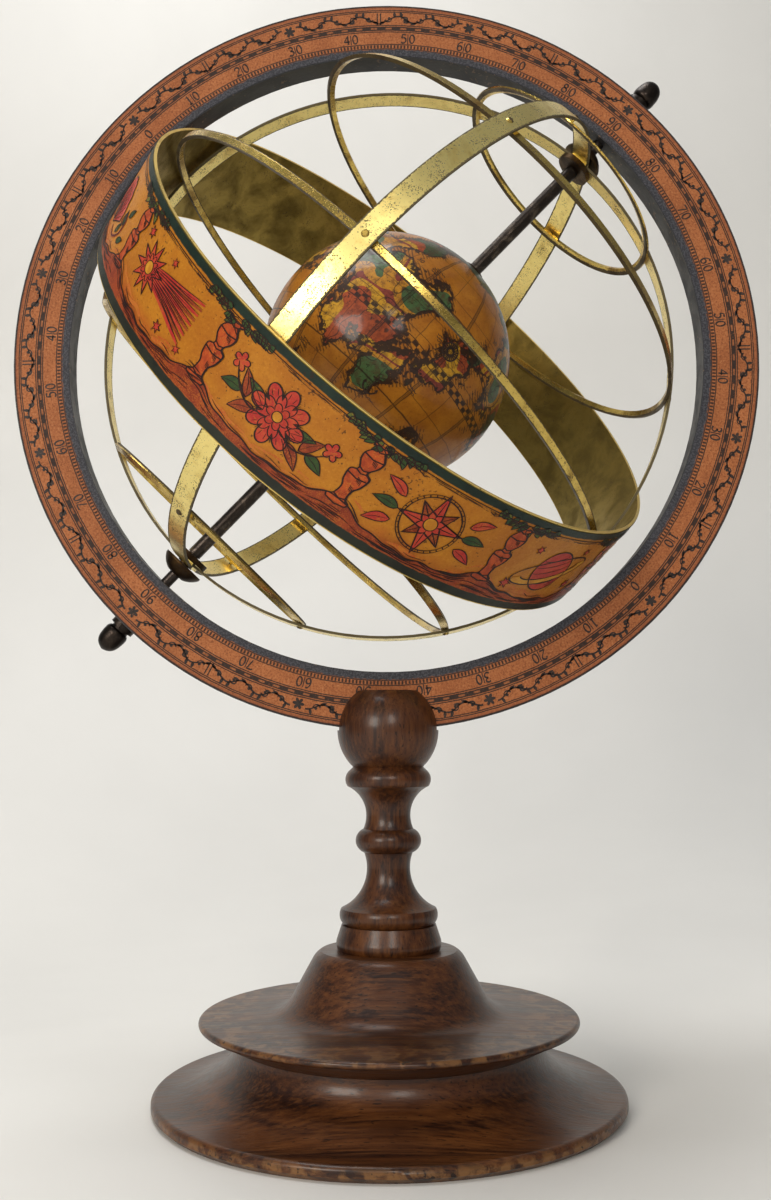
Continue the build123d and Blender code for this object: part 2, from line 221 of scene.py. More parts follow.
def newFinish(name, **sockets):
    made = bpy.data.materials.new(name)
    made.use_nodes = True
    shader = made.node_tree.nodes["Principled BSDF"]
    for socket, value in sockets.items():
        shader.inputs[socket.replace("_", " ")].default_value = value
    return made, Wires(made.node_tree), shader.inputs


# Stained beech

def makeBeech(name, alongX, wear=None):
    # alongX is true where the plank lies flat, as in the two discs
    finish, wires, shader = newFinish(name, Specular_IOR_Level=0.25, Coat_Weight=0.24, Coat_Roughness=0.2)
    spot = wires.spot()
    fibres = (26, 900, 900) if alongX else (900, 900, 26)
    rings = (4, 70, 190) if alongX else (80, 80, 4)
    flecks = (330, 1900, 1500) if alongX else (1900, 1900, 420)
    figure = wires.noise(wires.stretch(spot, rings), 1.0, 4.0, 0.6, 0.8)
    fibre = wires.noise(wires.stretch(spot, fibres), 1.0, 5.0, 0.7)
    fleck = wires.noise(wires.stretch(spot, flecks), 1.0, 1.0, 0.4)
    cloud = wires.use(cloudedTone, Vector=spot, Scale=30.0, Low=0.3, High=0.75)
    colour = wires.mix(wires.rise(figure, 0.36, 0.66), paint("#26120A"), paint("#532E14"))
    colour = wires.mix(wires.rise(fibre, 0.42, 0.68, 0.0, 0.6), colour, paint("#6E421C"))
    colour = wires.mix(wires.rise(fibre, 0.3, 0.45, 0.75, 0.0), colour, paint("#1B0D07"))
    colour = wires.mix(wires.both(cloud, 0.5), colour, paint("#2A130A"))
    colour = wires.mix(wires.both(wires.rise(fleck, 0.66, 0.71), 0.8), colour, paint("#150A05"))
    if wear:
        height = wires.placed(floorFrame)[2]
        near = wires.stripe(height, wear["height"], wear["width"], wear["width"] * 0.4)
        rub = wires.use(cloudedTone, Vector=spot, Scale=190.0, Low=0.45, High=0.6)
        colour = wires.mix(wires.both(wires.both(near, rub), wear["share"]), colour, paint("#8A6238"))
        chips = wires.use(smallPits, Vector=spot, Scale=420.0, Cover=0.5)
        colour = wires.mix(wires.both(wires.both(near, chips), 0.9), colour, paint("#140A06"))
    wires.feed(shader["Base Color"], colour)
    wires.feed(shader["Roughness"], wires.rise(fibre, 0.3, 0.8, 0.34, 0.52))
    height = wires.math("ADD", wires.both(fibre, 0.6), wires.both(fleck, -0.5))
    wires.feed(shader["Normal"], wires.relief(height, 0.00016, 0.6))
    wires.feed(shader["Coat Normal"], wires.relief(wires.noise(spot, 90.0, 2.0), 0.0005, 0.35))
    return finish


# Brass of the hoops, the colures and the band, with the sizes that place its worn edges. The lifts say
# how high each ink lies over the band's paper.
band = {"paper": 94.763, "half": 16.6, "upperBorder": 3.0, "lowerBorder": 3.3,
        "lifts": {"wash": 0.02, "rust": 0.04, "moss": 0.06, "pot": 0.07, "green": 0.08, "crimson": 0.1,
                  "yellow": 0.12, "line": 0.15}}
hoops = {"radius": 91.2, "half": 1.2, "colureHalf": 3.4, "latitudes": [65.6, 34.5, -1.0, -34.5, -63.5]}


def coluresEdge(wires):
    # Near the long edges of the two crossed strips
    x, y, z = wires.placed(cageFrame)
    away = wires.math("MINIMUM", wires.math("ABSOLUTE", x), wires.math("ABSOLUTE", y))
    return wires.rise(away, hoops["colureHalf"] - 1.1, hoops["colureHalf"])


def parallelsEdge(wires):
    # Near the edges of the five parallels
    height = wires.placed(cageFrame)[2]
    away = hoops["radius"]
    for latitude in hoops["latitudes"]:
        level = hoops["radius"] * math.sin(math.radians(latitude))
        away = wires.math("MINIMUM", away, wires.math("ABSOLUTE", wires.math("SUBTRACT", height, level)))
    return wires.rise(away, hoops["half"] - 0.7, hoops["half"])


def bandRim(wires):
    # The rims of the zodiac band, where the brass is lightened as a painted highlight
    height = wires.math("ABSOLUTE", wires.placed(bandFrame)[2])
    return wires.rise(height, band["half"] - 0.3, band["half"] - 0.1)


def makeBrass(name, bright, dull, low, high, cover, roughness=(0.2, 0.42), edge=None, rim=None):
    # edge and rim are masks over the places above; rim marks a painted highlight
    finish, wires, shader = newFinish(name)
    spot = wires.spot()
    tone = wires.use(cloudedTone, Vector=spot, Scale=95.0, Low=low, High=high)
    streak = wires.noise(spot, 420.0, 3.0, 0.7)
    pits = wires.use(smallPits, Vector=spot, Scale=2500.0, Cover=cover)
    colour = wires.mix(tone, paint(bright), paint(dull))
    colour = wires.mix(wires.rise(streak, 0.52, 0.78, 0.0, 0.5), colour, paint(dull))
    if edge:
        # Tarnish left along the edges, ragged on its inner side
        bite = wires.math("MULTIPLY", wires.noise(spot, 1500.0, 3.0, 0.7), 1.3)
        ragged = wires.math("ADD", edge(wires), bite)
        pits = wires.either(pits, wires.rise(ragged, 1.28, 1.4))
    if rim:
        # Painted highlight: a light brass colour along the band's rims
        colour = wires.mix(rim(wires), colour, paint("#E8CC7C"))
    colour = wires.mix(wires.both(pits, 0.92), colour, paint("#20140A"))
    wires.feed(shader["Base Color"], colour)
    wires.feed(shader["Metallic"], wires.rise(pits, 0.0, 1.0, 1.0, 0.3))
    rough = wires.math("ADD", wires.rise(tone, 0.0, 1.0, *roughness), wires.both(pits, 0.3))
    wires.feed(shader["Roughness"], rough)
    uneven = wires.math("ADD", wires.noise(spot, 160.0, 3.0), wires.both(pits, -0.5))
    wires.feed(shader["Normal"], wires.relief(uneven, 0.0002, 0.5))
    return finish


# Dark steel of the rod, its sleeves and the finials

def makeGunmetal(name, base="#38322E", rub="#8A7C6E", share=0.5):
    finish, wires, shader = newFinish(name, Metallic=0.9)
    spot = wires.spot()
    rubbed = wires.use(cloudedTone, Vector=spot, Scale=210.0, Low=0.5, High=0.75)
    grain = wires.noise(spot, 1900.0, 2.0, 0.6)
    colour = wires.mix(wires.both(rubbed, share), paint(base), paint(rub))
    colour = wires.mix(wires.rise(grain, 0.5, 0.8, 0.0, 0.5), colour, paint("#1B1715"))
    wires.feed(shader["Base Color"], colour)
    wires.feed(shader["Roughness"], wires.rise(grain, 0.2, 0.8, 0.26, 0.5))
    wires.feed(shader["Normal"], wires.relief(grain, 0.00006, 0.5))
    return finish


# Meridian ring: black board and the printed paper on its faces

# Places across the paper are mm in from its outer edge
ring = {"outer": 120.076, "paperFace": 4.6, "lines": [1.8, 2.35, 7.05, 9.35, 13.75, 15.35],
        "lineWidth": 0.34, "cord": 8.2, "cordWidth": 1.5, "cordTurns": 0.4, "ladder": 14.55,
        "ladderWidth": 1.1, "ladderTurns": 5 / 3, "border": 15.8}


def makeBoard():
    finish, wires, shader = newFinish("ringBoardBlack")
    spot = wires.spot()
    chip = wires.use(smallPits, Vector=spot, Scale=700.0, Cover=0.42)
    tone = wires.use(cloudedTone, Vector=spot, Scale=120.0, Low=0.35, High=0.7)
    colour = wires.mix(tone, paint("#15161A"), paint("#26282E"))
    colour = wires.mix(wires.both(chip, 0.7), colour, paint("#6B5644"))
    wires.feed(shader["Base Color"], colour)
    wires.feed(shader["Roughness"], wires.rise(tone, 0.0, 1.0, 0.42, 0.62))
    wires.feed(shader["Normal"], wires.relief(wires.noise(spot, 900.0, 3.0), 0.00015, 0.4))
    return finish


def ringPlace(wires, place):
    # Distance in from the ring's outer edge in mm, and the turn from the pole in degrees
    x, y, z = wires.placed(place)
    radius = wires.math("SQRT", wires.math("ADD", wires.both(x, x), wires.both(y, y)))
    turn = wires.math("DEGREES", wires.math("ARCTAN2", y, x))
    return wires.math("SUBTRACT", ring["outer"], radius), turn


def makeRingPaper(name, place):
    finish, wires, shader = newFinish(name, Specular_IOR_Level=0.25)
    spot = wires.spot()
    depth, turn = ringPlace(wires, place)
    shake = wires.math("MULTIPLY", wires.math("SUBTRACT", wires.noise(spot, 420.0, 2.0), 0.5), 0.3)
    depth = wires.math("ADD", depth, shake)
    mottle = wires.use(cloudedTone, Vector=spot, Scale=75.0, Low=0.3, High=0.7)
    fleck = wires.noise(spot, 1500.0, 3.0, 0.7)
    colour = wires.mix(mottle, paint("#94562F"), paint("#A8663B"))
    colour = wires.mix(wires.rise(fleck, 0.45, 0.7, 0.0, 0.8), colour, paint("#6E3C20"))
    colour = wires.mix(wires.rise(fleck, 0.3, 0.44, 0.5, 0.0), colour, paint("#BC8557"))
    # Soil at both edges of the paper
    soil = wires.either(wires.rise(depth, 0.4, 2.4, 0.6, 0.0), wires.rise(depth, 14.0, 17.0, 0.0, 0.4))
    colour = wires.mix(soil, colour, paint("#7A432E"))

    ink = wires.rise(depth, 0.55, 0.9, 1.0, 0.0)
    for line in ring["lines"]:
        ink = wires.either(ink, wires.stripe(depth, line, ring["lineWidth"], 0.08))
    # A cord between two lines, dark with light dashes
    cord = wires.math("FRACT", wires.math("MULTIPLY", turn, ring["cordTurns"]))
    dash = wires.both(wires.rise(cord, 0.1, 0.2), wires.rise(cord, 0.5, 0.6, 1.0, 0.0))
    light = wires.both(dash, wires.stripe(depth, ring["cord"], 0.6, 0.12))
    cordInk = wires.both(wires.stripe(depth, ring["cord"], ring["cordWidth"], 0.1),
                         wires.math("SUBTRACT", 1.0, wires.both(light, 0.8)))
    ink = wires.either(ink, cordInk)
    # The ladder of single degrees by the inner edge
    rung = wires.math("FRACT", wires.math("MULTIPLY", turn, ring["ladderTurns"]))
    rungs = wires.both(wires.stripe(rung, 0.5, 0.52, 0.08),
                       wires.stripe(depth, ring["ladder"], ring["ladderWidth"], 0.05))
    ink = wires.either(ink, rungs)
    edge = wires.math("ADD", depth, wires.math("MULTIPLY", wires.noise(spot, 900.0, 2.0), 0.9))
    border = wires.rise(edge, ring["border"], ring["border"] + 0.4)
    ink = wires.both(ink, wires.use(wornInk, Vector=spot, Scale=2600.0, Wear=0.5))
    colour = wires.mix(wires.both(ink, 0.96), colour, paint("#241D1A"))
    charcoal = wires.mix(wires.rise(fleck, 0.42, 0.62), paint("#2C2D33"), paint("#4A4A50"))
    colour = wires.mix(border, colour, charcoal)
    wires.feed(shader["Base Color"], colour)
    wires.feed(shader["Roughness"], wires.rise(fleck, 0.2, 0.8, 0.5, 0.75))
    wires.feed(shader["Normal"], wires.relief(fleck, 0.00012, 0.6))
    return finish


def makeInk(name, tones, scale=400.0, wear=0.6, under="#B87048", coat=0.1, roughness=0.5):
    # Printed colour with a second tone clouded in, and the paper showing where it is rubbed
    finish, wires, shader = newFinish(name, Roughness=roughness, Specular_IOR_Level=0.2, Coat_Weight=coat,
                                      Coat_Roughness=0.3)
    spot = wires.spot()
    cloud = wires.use(cloudedTone, Vector=spot, Scale=scale, Low=0.35, High=0.65)
    colour = wires.mix(cloud, paint(tones[0]), paint(tones[1]))
    took = wires.use(wornInk, Vector=spot, Scale=2600.0, Wear=wear)
    wires.feed(shader["Base Color"], wires.mix(took, paint(under), colour))
    return finish


# Zodiac band

def makeBandPaper():
    finish, wires, shader = newFinish("zodiacPaperVarnished", Specular_IOR_Level=0.2, Coat_Weight=0.14,
                                      Coat_Roughness=0.3)
    spot = wires.spot()
    height = wires.placed(bandFrame)[2]
    shake = wires.math("MULTIPLY", wires.math("SUBTRACT", wires.noise(spot, 260.0, 3.0, 0.6), 0.5), 0.9)
    height = wires.math("ADD", height, shake)
    mottle = wires.use(cloudedTone, Vector=spot, Scale=60.0, Low=0.3, High=0.7)
    fine = wires.noise(spot, 1300.0, 3.0, 0.7)
    colour = wires.mix(mottle, paint("#B2741A"), paint("#A05F12"))
    colour = wires.mix(wires.rise(fine, 0.45, 0.8, 0.0, 0.5), colour, paint("#864A10"))
    colour = wires.mix(wires.rise(fine, 0.28, 0.42, 0.4, 0.0), colour, paint("#C68C30"))
    # Orange wash low on the band, uneven along it
    sway = wires.noise(spot, 60.0, 3.0, 0.6)
    level = wires.math("ADD", height, wires.math("MULTIPLY", sway, -12.0))
    wash = wires.rise(level, -18.0, -11.0, 1.0, 0.0)
    washShare = wires.rise(wires.noise(spot, 210.0, 4.0, 0.65), 0.38, 0.62)
    washTone = wires.mix(washShare, paint("#A4481C"), paint("#7E3014"))
    colour = wires.mix(wires.both(wash, 0.7), colour, washTone)
    # Dark green borders, the upper one with a double line under it
    top = band["half"] - band["upperBorder"]
    foot = -band["half"] + band["lowerBorder"]
    for away, width in ((1.0, 0.24), (1.55, 0.2)):
        worn = wires.use(wornInk, Vector=spot, Scale=1200.0, Wear=0.8)
        thin = wires.both(wires.stripe(height, top - away, width, 0.06), worn)
        colour = wires.mix(wires.both(thin, 0.9), colour, paint("#24180E"))
    upperTone = wires.use(cloudedTone, Vector=spot, Scale=130.0, Low=0.3, High=0.7)
    upper = wires.mix(upperTone, paint("#0F1D16"), paint("#18291F"))
    lowerTone = wires.use(cloudedTone, Vector=spot, Scale=110.0, Low=0.3, High=0.7)
    lower = wires.mix(lowerTone, paint("#1B1E18"), paint("#282B21"))
    colour = wires.mix(wires.rise(height, top, top + 0.35), colour, upper)
    colour = wires.mix(wires.rise(height, foot - 0.35, foot, 1.0, 0.0), colour, lower)
    grime = wires.use(smallPits, Vector=spot, Scale=900.0, Cover=0.4)
    colour = wires.mix(wires.both(grime, 0.7), colour, paint("#2A180C"))
    wires.feed(shader["Base Color"], colour)
    wires.feed(shader["Roughness"], wires.rise(fine, 0.2, 0.8, 0.4, 0.58))
    wires.feed(shader["Normal"], wires.relief(fine, 0.00005, 0.4))
    wires.feed(shader["Coat Normal"], wires.relief(wires.noise(spot, 70.0, 2.0), 0.0004, 0.25))
    return finish


# Globe

# Each land tint holds from its place in the country noise up to the next
globe = {"radius": 40.0, "sunTilt": 23.4, "circles": (23.4, -23.4, 66.5, -66.5),
         "landTints": [(0.0, "#33452B"), (0.39, "#93401A"), (0.46, "#B8891C"), (0.52, "#7C3424"),
                       (0.55, "#B07A1C"), (0.61, "#3F5A34")]}


def makeGlobePaper():
    finish, wires, shader = newFinish("globeGoresVarnished", Specular_IOR_Level=0.2, Coat_Weight=0.4,
                                      Coat_Roughness=0.13, Coat_IOR=1.38)
    spot = wires.spot()
    x, y, z = wires.placed(axisFrame)
    unit = wires.node("ShaderNodeCombineXYZ")
    for socket, value in zip(unit.inputs, (x, y, z)):
        wires.feed(socket, wires.math("DIVIDE", value, globe["radius"]))
    where = unit.outputs[0]
    shake = wires.math("MULTIPLY", wires.math("SUBTRACT", wires.noise(where, 9.0, 3.0), 0.5), 1.3)
    lon = wires.math("ADD", wires.math("DEGREES", wires.math("ARCTAN2", y, x)), shake)
    up = wires.math("MINIMUM", 1.0, wires.math("MAXIMUM", -1.0, wires.math("DIVIDE", z, globe["radius"])))
    lat = wires.math("ADD", wires.math("DEGREES", wires.math("ARCSINE", up)), shake)

    mottle = wires.use(cloudedTone, Vector=spot, Scale=120.0, Low=0.3, High=0.7)
    fine = wires.noise(spot, 1600.0, 3.0, 0.7)
    sea = wires.mix(mottle, paint("#A96C18"), paint("#8C520F"))
    sea = wires.mix(wires.rise(fine, 0.45, 0.8, 0.0, 0.55), sea, paint("#6E400F"))
    # Lands come from one noise field: its level is the coast, with a spiky edge
    field = wires.noise(where, 1.35, 6.0, 0.56, 0.25)
    spikes = wires.math("MULTIPLY", wires.math("SUBTRACT", wires.noise(where, 46.0, 2.0, 0.6), 0.5), 0.03)
    land = wires.rise(field, 0.54, 0.544)
    rough = wires.math("ADD", field, spikes)
    coast = wires.stripe(rough, 0.536, 0.03, 0.004)
    shore = wires.stripe(rough, 0.511, 0.026, 0.006)
    slope = wires.math("ADD", lat, wires.math("MULTIPLY", lon, 0.6))
    hatch = wires.math("FRACT", wires.math("MULTIPLY", slope, 0.55))
    shore = wires.both(shore, wires.stripe(hatch, 0.5, 0.42, 0.12))
    country = wires.noise(where, 2.1, 1.0, 0.4)
    tint = wires.node("ShaderNodeValToRGB")
    tint.color_ramp.interpolation = "CONSTANT"
    while len(tint.color_ramp.elements) < len(globe["landTints"]):
        tint.color_ramp.elements.new(1.0)
    for stop, (place, code) in zip(tint.color_ramp.elements, globe["landTints"]):
        stop.position = place
        stop.color = paint(code)
    uneven = wires.math("MULTIPLY", wires.noise(where, 14.0), 0.02)
    wires.feed(tint.inputs[0], wires.math("ADD", country, uneven))
    border = wires.noise(where, 2.6, 2.0, 0.5)
    frontier = wires.both(land, wires.stripe(border, 0.5, 0.012, 0.003))
    landTone = wires.mix(wires.rise(wires.noise(where, 22.0, 4.0, 0.7), 0.4, 0.66, 0.0, 0.6),
                         tint.outputs[0], paint("#45180F"))
    # Small hills and woods as dark flecks on the land
    hills = wires.both(land, wires.rise(wires.noise(where, 34.0, 3.0, 0.7, 1.2), 0.6, 0.64))
    colour = wires.mix(land, sea, landTone)
    # Grey-green northern lands, and a dull brown southern cap that is partly map colour and partly painted
    # shade from the band
    far = wires.math("MULTIPLY", wires.math("SUBTRACT", wires.noise(where, 2.2, 5.0, 0.6), 0.5), 60.0)
    north = wires.rise(wires.math("ADD", lat, far), 57.0, 58.5)
    northEdge = wires.stripe(wires.math("ADD", lat, far), 57.0, 2.2, 0.5)
    greenShare = wires.rise(wires.noise(where, 16.0, 4.0), 0.4, 0.6)
    greenTone = wires.mix(greenShare, paint("#46503A"), paint("#2F3B2C"))
    colour = wires.mix(north, colour, greenTone)
    # The southern cap's dark tones also stand for the band's shade on the globe's lower side: painted shade
    south = wires.rise(wires.math("ADD", lat, far), -48.0, -49.5, 0.0, 1.0)
    southShare = wires.rise(wires.noise(where, 12.0, 4.0), 0.4, 0.6)
    southCapAndShadeTone = wires.mix(southShare, paint("#5A4030"), paint("#3E3A2A"))
    colour = wires.mix(south, colour, southCapAndShadeTone)

    ink = wires.either(coast, wires.both(shore, 0.75))
    ink = wires.either(ink, wires.either(wires.both(frontier, 0.85), wires.both(hills, 0.85)))
    ink = wires.either(ink, wires.both(northEdge, 0.85))
    for every, width, dark in ((15.0, 0.028, 0.6), (30.0, 0.018, 0.85)):
        # A line each 15 degrees, doubled each 30 at the gores' joins
        place = wires.math("FRACT", wires.math("DIVIDE", wires.math("ADD", lon, every / 2), every))
        shift = 0.0 if every == 15.0 else 0.022
        for side in (-shift, shift):
            ink = wires.either(ink, wires.both(wires.stripe(place, 0.5 + side, width, 0.008), dark))
    between = wires.math("FRACT", wires.math("ADD", wires.math("DIVIDE", lat, 15.0), 0.5))
    latLine = wires.stripe(between, 0.5, 0.026, 0.009)
    ink = wires.either(ink, wires.both(latLine, 0.6))
    for parallel in globe["circles"]:
        ink = wires.either(ink, wires.both(wires.stripe(lat, parallel, 0.7, 0.15), 0.85))
    # The equator's two rows of blocks between rails
    block = wires.rise(wires.math("FRACT", wires.math("DIVIDE", lon, 6.0)), 0.47, 0.53)
    upperRow = wires.both(wires.stripe(lat, 0.85, 1.7, 0.12), block)
    lowerRow = wires.both(wires.stripe(lat, -0.85, 1.7, 0.12), wires.math("SUBTRACT", 1.0, block))
    rails = wires.either(wires.stripe(lat, 1.9, 0.4, 0.1), wires.stripe(lat, -1.9, 0.4, 0.1))
    ink = wires.either(ink, wires.either(wires.either(upperRow, lowerRow), rails))
    ink = wires.either(ink, wires.both(wires.stripe(lat, 5.4, 0.35, 0.1), 0.7))
    # The slanting circle of the sun's path, dashed
    tilt = math.radians(globe["sunTilt"])
    across = wires.math("MULTIPLY", x, -math.sin(tilt) / globe["radius"])
    slant = wires.math("ADD", wires.both(up, math.cos(tilt)), across)
    path = wires.either(wires.stripe(slant, 0.014, 0.009, 0.002), wires.stripe(slant, -0.014, 0.009, 0.002))
    dash = wires.stripe(wires.math("FRACT", wires.math("DIVIDE", lon, 5.0)), 0.5, 0.5, 0.04)
    ink = wires.either(ink, wires.either(path, wires.both(wires.stripe(slant, 0.0, 0.02, 0.003), dash)))
    ink = wires.both(ink, wires.use(wornInk, Vector=spot, Scale=2400.0, Wear=0.45))
    colour = wires.mix(wires.both(ink, 0.94), colour, paint("#1A100B"))
    wires.feed(shader["Base Color"], colour)
    wires.feed(shader["Roughness"], wires.rise(fine, 0.2, 0.8, 0.4, 0.58))
    wires.feed(shader["Coat Normal"], wires.relief(wires.noise(spot, 110.0, 3.0), 0.0006, 0.4))
    return finish


# Print: pen strokes and filled shapes are flat outlines in (along, across) millimetres, laid on the
# ring, the band or the globe by a mapping

def smoothLine(points, steps=6):
    count = len(points)
    if count < 3:
        return list(points)
    found = []
    for i in range(count - 1):
        near = (i - 1, i, i + 1, i + 2)
        spread = [points[min(max(k, 0), count - 1)] for k in near]
        for step in range(steps):
            t = step / steps
            point = []
            for a, b, c, d in zip(*spread):
                bend = (2 * a - 5 * b + 4 * c - d) * t * t + (3 * b - a - 3 * c + d) * t ** 3
                point.append(0.5 * (2 * b + (c - a) * t + bend))
            found.append(tuple(point))
    found.append(points[-1])
    return found


def finer(points, longest):
    found = [points[0]]
    for start, end in zip(points, points[1:]):
        parts = max(1, math.ceil(math.dist(start, end) / longest))
        for k in range(1, parts + 1):
            found.append(tuple(a + (b - a) * k / parts for a, b in zip(start, end)))
    return found


class Print:
    # Collects quads for one ink, then lays them on a surface as one thin closed mesh
    def __init__(self):
        self.points = []
        self.faces = []

    def stroke(self, points, thick, thin=None, slope=0.9, longest=1.2, taper=False):
        thin = thick * 0.45 if thin is None else thin
        line = finer(points, longest)
        first = len(self.points)
        for i, point in enumerate(line):
            before = line[max(i - 1, 0)]
            after = line[min(i + 1, len(line) - 1)]
            heading = math.atan2(after[1] - before[1], after[0] - before[0])
            half = (thin + (thick - thin) * abs(math.sin(heading - slope))) / 2
            if taper:
                half *= 0.25 + 0.75 * math.sin(math.pi * (i + 0.5) / len(line))
            du, dv = (-math.sin(heading) * half, math.cos(heading) * half)
            self.points += [(point[0] + du, point[1] + dv), (point[0] - du, point[1] - dv)]
            if i:
                a = first + 2 * i
                self.faces.append((a - 2, a - 1, a + 1, a))

    def fill(self, outline, middle=None, step=1.3):
        # For an outline that can all be seen from its middle
        count = len(outline)
        middle = middle or (sum(p[0] for p in outline) / count, sum(p[1] for p in outline) / count)
        reach = max(math.dist(p, middle) for p in outline)
        rings = max(1, math.ceil(reach / step))
        first = len(self.points)
        self.points.append(middle)
        for k in range(1, rings + 1):
            share = k / rings
            self.points += [(middle[0] + (p[0] - middle[0]) * share, middle[1] + (p[1] - middle[1]) * share)
                            for p in outline]
        for k in range(rings):
            for i in range(count):
                j = (i + 1) % count
                if k == 0:
                    self.faces.append((first, first + 1 + i, first + 1 + j))
                else:
                    inner = first + 1 + (k - 1) * count
                    outer = inner + count
                    self.faces.append((inner + i, outer + i, outer + j, inner + j))

    def strip(self, lower, upper, rows=4):
        # Fills between two lines of as many points
        first = len(self.points)
        for a, b in zip(lower, upper):
            self.points += [(a[0] + (b[0] - a[0]) * k / rows, a[1] + (b[1] - a[1]) * k / rows)
                            for k in range(rows + 1)]
        for i in range(len(lower) - 1):
            for k in range(rows):
                a = first + i * (rows + 1) + k
                self.faces.append((a, a + rows + 1, a + rows + 2, a + 1))

    def lay(self, name, mapping, lift, finish, body, slotName, thickness=0.02):
        count = len(self.points)
        verts = [mapping(u, v, lift + thickness) for u, v in self.points]
        verts += [mapping(u, v, lift) for u, v in self.points]
        made = bmesh.new()
        corners = [made.verts.new(v) for v in verts]
        made.verts.ensure_lookup_table()
        edges = {}
        for face in self.faces:
            made.faces.new([corners[i] for i in face])
            made.faces.new([corners[count + i] for i in reversed(face)])
            for a, b in zip(face, face[1:] + face[:1]):
                edges[(a, b)] = edges.get((a, b), 0) + 1
        for a, b in edges:
            if (b, a) not in edges:
                made.faces.new([corners[b], corners[a], corners[count + a], corners[count + b]])
        bmesh.ops.recalc_face_normals(made, faces=made.faces)
        return addPiece(name, made, finish, body)


def addPiece(name, made, finish, body):
    mesh = bpy.data.meshes.new(name)
    made.to_mesh(mesh)
    made.free()
    mesh.materials.append(finish)
    piece = bpy.data.objects.new(name, mesh)
    bpy.context.scene.collection.objects.link(piece)
    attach(piece, body)
    return piece


def dress(finish, *nodes):
    for name in nodes:
        node = frame["nodes"][name]
        node.data.materials.clear()
        node.data.materials.append(finish)


# Mappings from flat print to the three surfaces

def onRing(place):
    # along: degrees from the pole, across: mm in from the outer edge
    def mapping(u, v, lift):
        radius = ring["outer"] - v
        angle = math.radians(u)
        return place @ Vector((radius * math.cos(angle) * mm, radius * math.sin(angle) * mm,
                               (ring["paperFace"] + lift) * mm))
    return mapping


def onBand(u, v, lift):
    # along: mm round the band from its front middle, positive to the viewer's right
    radius = band["paper"] + lift
    angle = u / band["paper"]
    return bandFrame @ Vector((radius * math.cos(angle) * mm, radius * math.sin(angle) * mm, v * mm))


def onGlobe(lon, lat):
    # Flat mm about one place on the globe
    out = Vector((math.cos(lat) * math.cos(lon), math.cos(lat) * math.sin(lon), math.sin(lat)))
    east = Vector((-math.sin(lon), math.cos(lon), 0))
    north = out.cross(east)

    def mapping(u, v, lift):
        side = (out * globe["radius"] + east * u + north * v).normalized()
        return axisFrame @ (side * (globe["radius"] + lift) * mm)
    return mapping


# Digits as pen strokes in a box 0.6 wide and 1 high

def oval(x, y, rx, ry, count=14):
    return arc(x, y, rx, ry, 0.0, 2 * math.pi, count + 1)


def arc(x, y, rx, ry, start, end, count):
    return [(x + rx * math.cos(a), y + ry * math.sin(a)) for a in np.linspace(start, end, count)]


digitStrokes = {
    "0": [oval(0.3, 0.5, 0.25, 0.48)],
    "1": [[(0.14, 0.84), (0.32, 1.0), (0.32, 0.02)], [(0.14, 0.02), (0.5, 0.02)]],
    "2": [smoothLine([(0.05, 0.76), (0.13, 0.95), (0.33, 1.0), (0.52, 0.86), (0.5, 0.64), (0.28, 0.36),
                      (0.04, 0.04)]),
          [(0.04, 0.04), (0.57, 0.05)]],
    "3": [smoothLine([(0.08, 0.9), (0.3, 1.0), (0.5, 0.86), (0.45, 0.64), (0.24, 0.55)]),
          smoothLine([(0.24, 0.55), (0.5, 0.46), (0.56, 0.22), (0.34, 0.01), (0.06, 0.1)])],
    "4": [[(0.43, 0.0), (0.43, 1.0), (0.03, 0.32), (0.6, 0.32)]],
    "5": [[(0.52, 0.98), (0.15, 0.98), (0.11, 0.58)],
          smoothLine([(0.11, 0.58), (0.34, 0.64), (0.55, 0.44), (0.5, 0.14), (0.28, 0.0), (0.05, 0.1)])],
    "6": [smoothLine([(0.5, 0.93), (0.28, 0.94), (0.1, 0.68), (0.06, 0.34), (0.17, 0.05), (0.36, 0.01),
                      (0.54, 0.2), (0.48, 0.46), (0.28, 0.54), (0.1, 0.4)])],
    "7": [[(0.05, 0.84), (0.05, 0.97), (0.56, 0.97), (0.24, 0.0)]],
    "8": [oval(0.3, 0.76, 0.19, 0.22), oval(0.3, 0.27, 0.25, 0.27)],
}
digitStrokes["9"] = [[(0.6 - x, 1.0 - y) for x, y in line] for line in digitStrokes["6"]]


scale = {"numeralFoot": 13.2, "numeralHeight": 3.1, "digitPitch": 2.4, "penWidth": 0.6, "wordMiddle": 4.9,
         "vineRise": 1.1, "vineWave": 10.6, "vinePen": 0.62}


